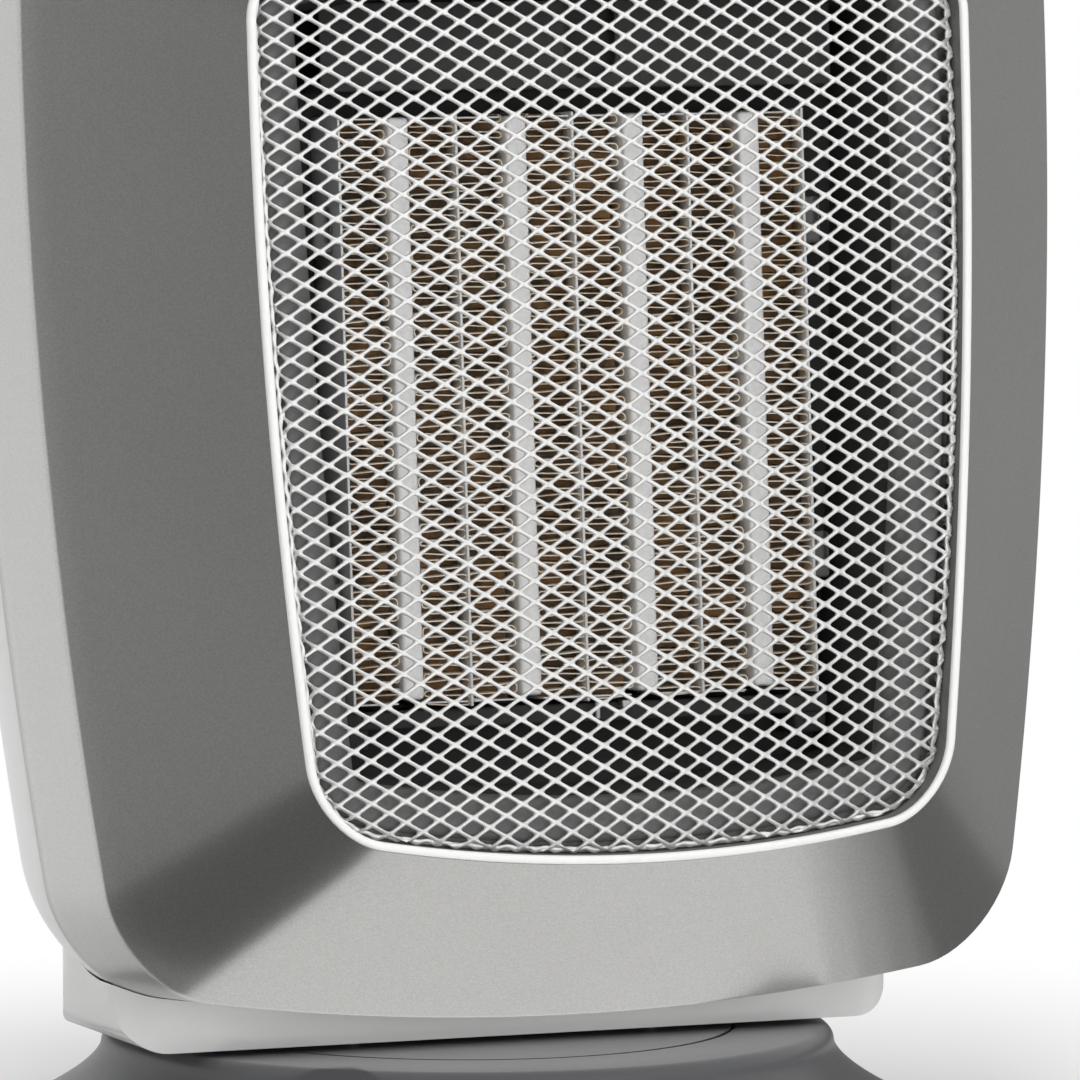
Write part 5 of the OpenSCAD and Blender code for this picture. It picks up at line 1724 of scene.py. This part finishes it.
@dataclass
class Studio:
    """Pale floor, soft lamps, cards and the camera, in metres."""

    azimuth: float = 22.5
    elevation: float = 4.85
    lens: float = 333.333
    eye: tuple[float, float, float] = (-0.7741, -1.9081, 0.3004)
    room: float = 0.34
    paper: float = 0.88
    floor_size: float = 48.0
    white_from: float = 0.1
    white_to: float = 0.34

    @staticmethod
    def stand(name: str, data: bpy.types.ID) -> Piece:
        """Puts an object with its data in the scene."""
        made = bpy.data.objects.new(name, data)
        bpy.context.scene.collection.objects.link(made)
        return made

    def camera(self) -> None:
        """Stands the camera in front of the heater, a little to its left."""
        a, e = math.radians(self.azimuth), math.radians(self.elevation)
        look = Vector((math.sin(a) * math.cos(e), math.cos(a) * math.cos(e), -math.sin(e)))
        right = Vector((math.cos(a), -math.sin(a), 0.0))
        lens = bpy.data.cameras.new("camera")
        lens.lens, lens.sensor_width, lens.clip_end = self.lens, 36.0, 60.0
        eye = self.stand("camera", lens)
        eye.matrix_world = (Matrix.Translation(self.eye)
                            @ Matrix((right, right.cross(look), -look)).transposed().to_4x4())
        bpy.context.scene.camera = eye

    @staticmethod
    def seen(n: Nodes) -> bpy.types.NodeSocket:
        """Gives a mask of the rays that show the background: the camera's, and those of metal and glass."""
        path = n.add("LightPath").outputs
        return n.math("MAXIMUM", n.math("MAXIMUM", path["Is Camera Ray"], path["Is Glossy Ray"]),
                      path["Is Transmission Ray"])

    def floor(self) -> None:
        """Lays a pale floor that keeps the shadow near the heater and runs out to white."""
        Bench.clear()
        bpy.ops.mesh.primitive_plane_add(size=self.floor_size)
        floor = Bench.adopt("floor")
        made = bpy.data.materials.new("floor")
        n = Nodes.fresh(made)
        paper = n.add("BsdfDiffuse", color=(self.paper, self.paper, self.paper, 1)).outputs[0]
        white = n.add("Emission", color=(1, 1, 1, 1), strength=1.0).outputs[0]
        away = n.add("VectorMath", n.place(), operation="LENGTH").outputs["Value"]
        far = n.add("MapRange", interpolation_type="SMOOTHSTEP", value=away, from_min=self.white_from,
                    from_max=self.white_to).outputs["Result"]
        mix = n.add("MixShader", n.math("MULTIPLY", self.seen(n), far), paper, white)
        n.add("OutputMaterial", surface=mix.outputs[0])
        floor.data.materials.append(made)

    def world(self) -> None:
        """Lights the room evenly and shows white behind the heater."""
        room = bpy.data.worlds.new("room")
        bpy.context.scene.world = room
        n = Nodes.fresh(room)
        soft, white = (n.add("Background", color=(1, 1, 1, 1), strength=s).outputs[0]
                       for s in (self.room, 1.0))
        n.add("OutputWorld", surface=n.add("MixShader", self.seen(n), soft, white).outputs[0])

    def card(self, name: str, card: Card) -> None:
        """Puts up one card, which the camera and soft light pass through.

        Args:
            name: Name of the card.
            card: Its corners and tone.
        """
        mesh = bpy.data.meshes.new(name)
        mesh.from_pydata(card.corners, [], [tuple(range(len(card.corners)))])
        piece = self.stand(name, mesh)
        made = bpy.data.materials.new(name)
        n = Nodes.fresh(made)
        # Glows at the card's tone, which glossy rays alone see: a painted reflection.
        n.add("OutputMaterial", surface=n.add("Emission", color=(1, 1, 1, 1), strength=card.tone).outputs[0])
        mesh.materials.append(made)
        for kind in ("camera", "shadow", "diffuse", "transmission", "volume_scatter"):
            setattr(piece, "visible_" + kind, False)

    def lamp(self, name: str, lamp: Lamp) -> None:
        """Hangs one lamp and turns it to its target.

        Args:
            name: Name of the lamp.
            lamp: Where it hangs, its size and its power.
        """
        data = bpy.data.lights.new(name, "AREA")
        data.size, data.energy = lamp.size, lamp.power
        piece = self.stand(name, data)
        piece.location = lamp.place
        piece.rotation_euler = (Vector(lamp.target) - Vector(lamp.place)).to_track_quat("-Z", "Y").to_euler()
        piece.visible_glossy = False

    def build(self) -> None:
        """Sets up the whole stage."""
        bpy.context.scene.view_settings.view_transform = "Standard"
        self.camera()
        self.floor()
        self.world()
        for card in Cards:
            self.card(card.name.lower(), card.value)
        for lamp in Lamps:
            self.lamp(lamp.name.lower(), lamp.value)


def dress_nodes(frame: dict) -> None:
    """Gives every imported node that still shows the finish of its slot.
    """
    for row in frame["record"]["subparts"]:
        Finishes[row["material_slot"]].value.dress(frame["nodes"][row["node"]])


def main() -> None:
    """Builds the stage and every piece, in order."""
    logging.basicConfig(level=logging.INFO, format="%(name)s: %(message)s")
    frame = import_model()
    Studio().build()
    dress_nodes(frame)
    for group in (Front, Core, Housing, Controls, Neck, Pedestal):
        group().build()
    Bench.clear()


if __name__ == "__main__":
    main()
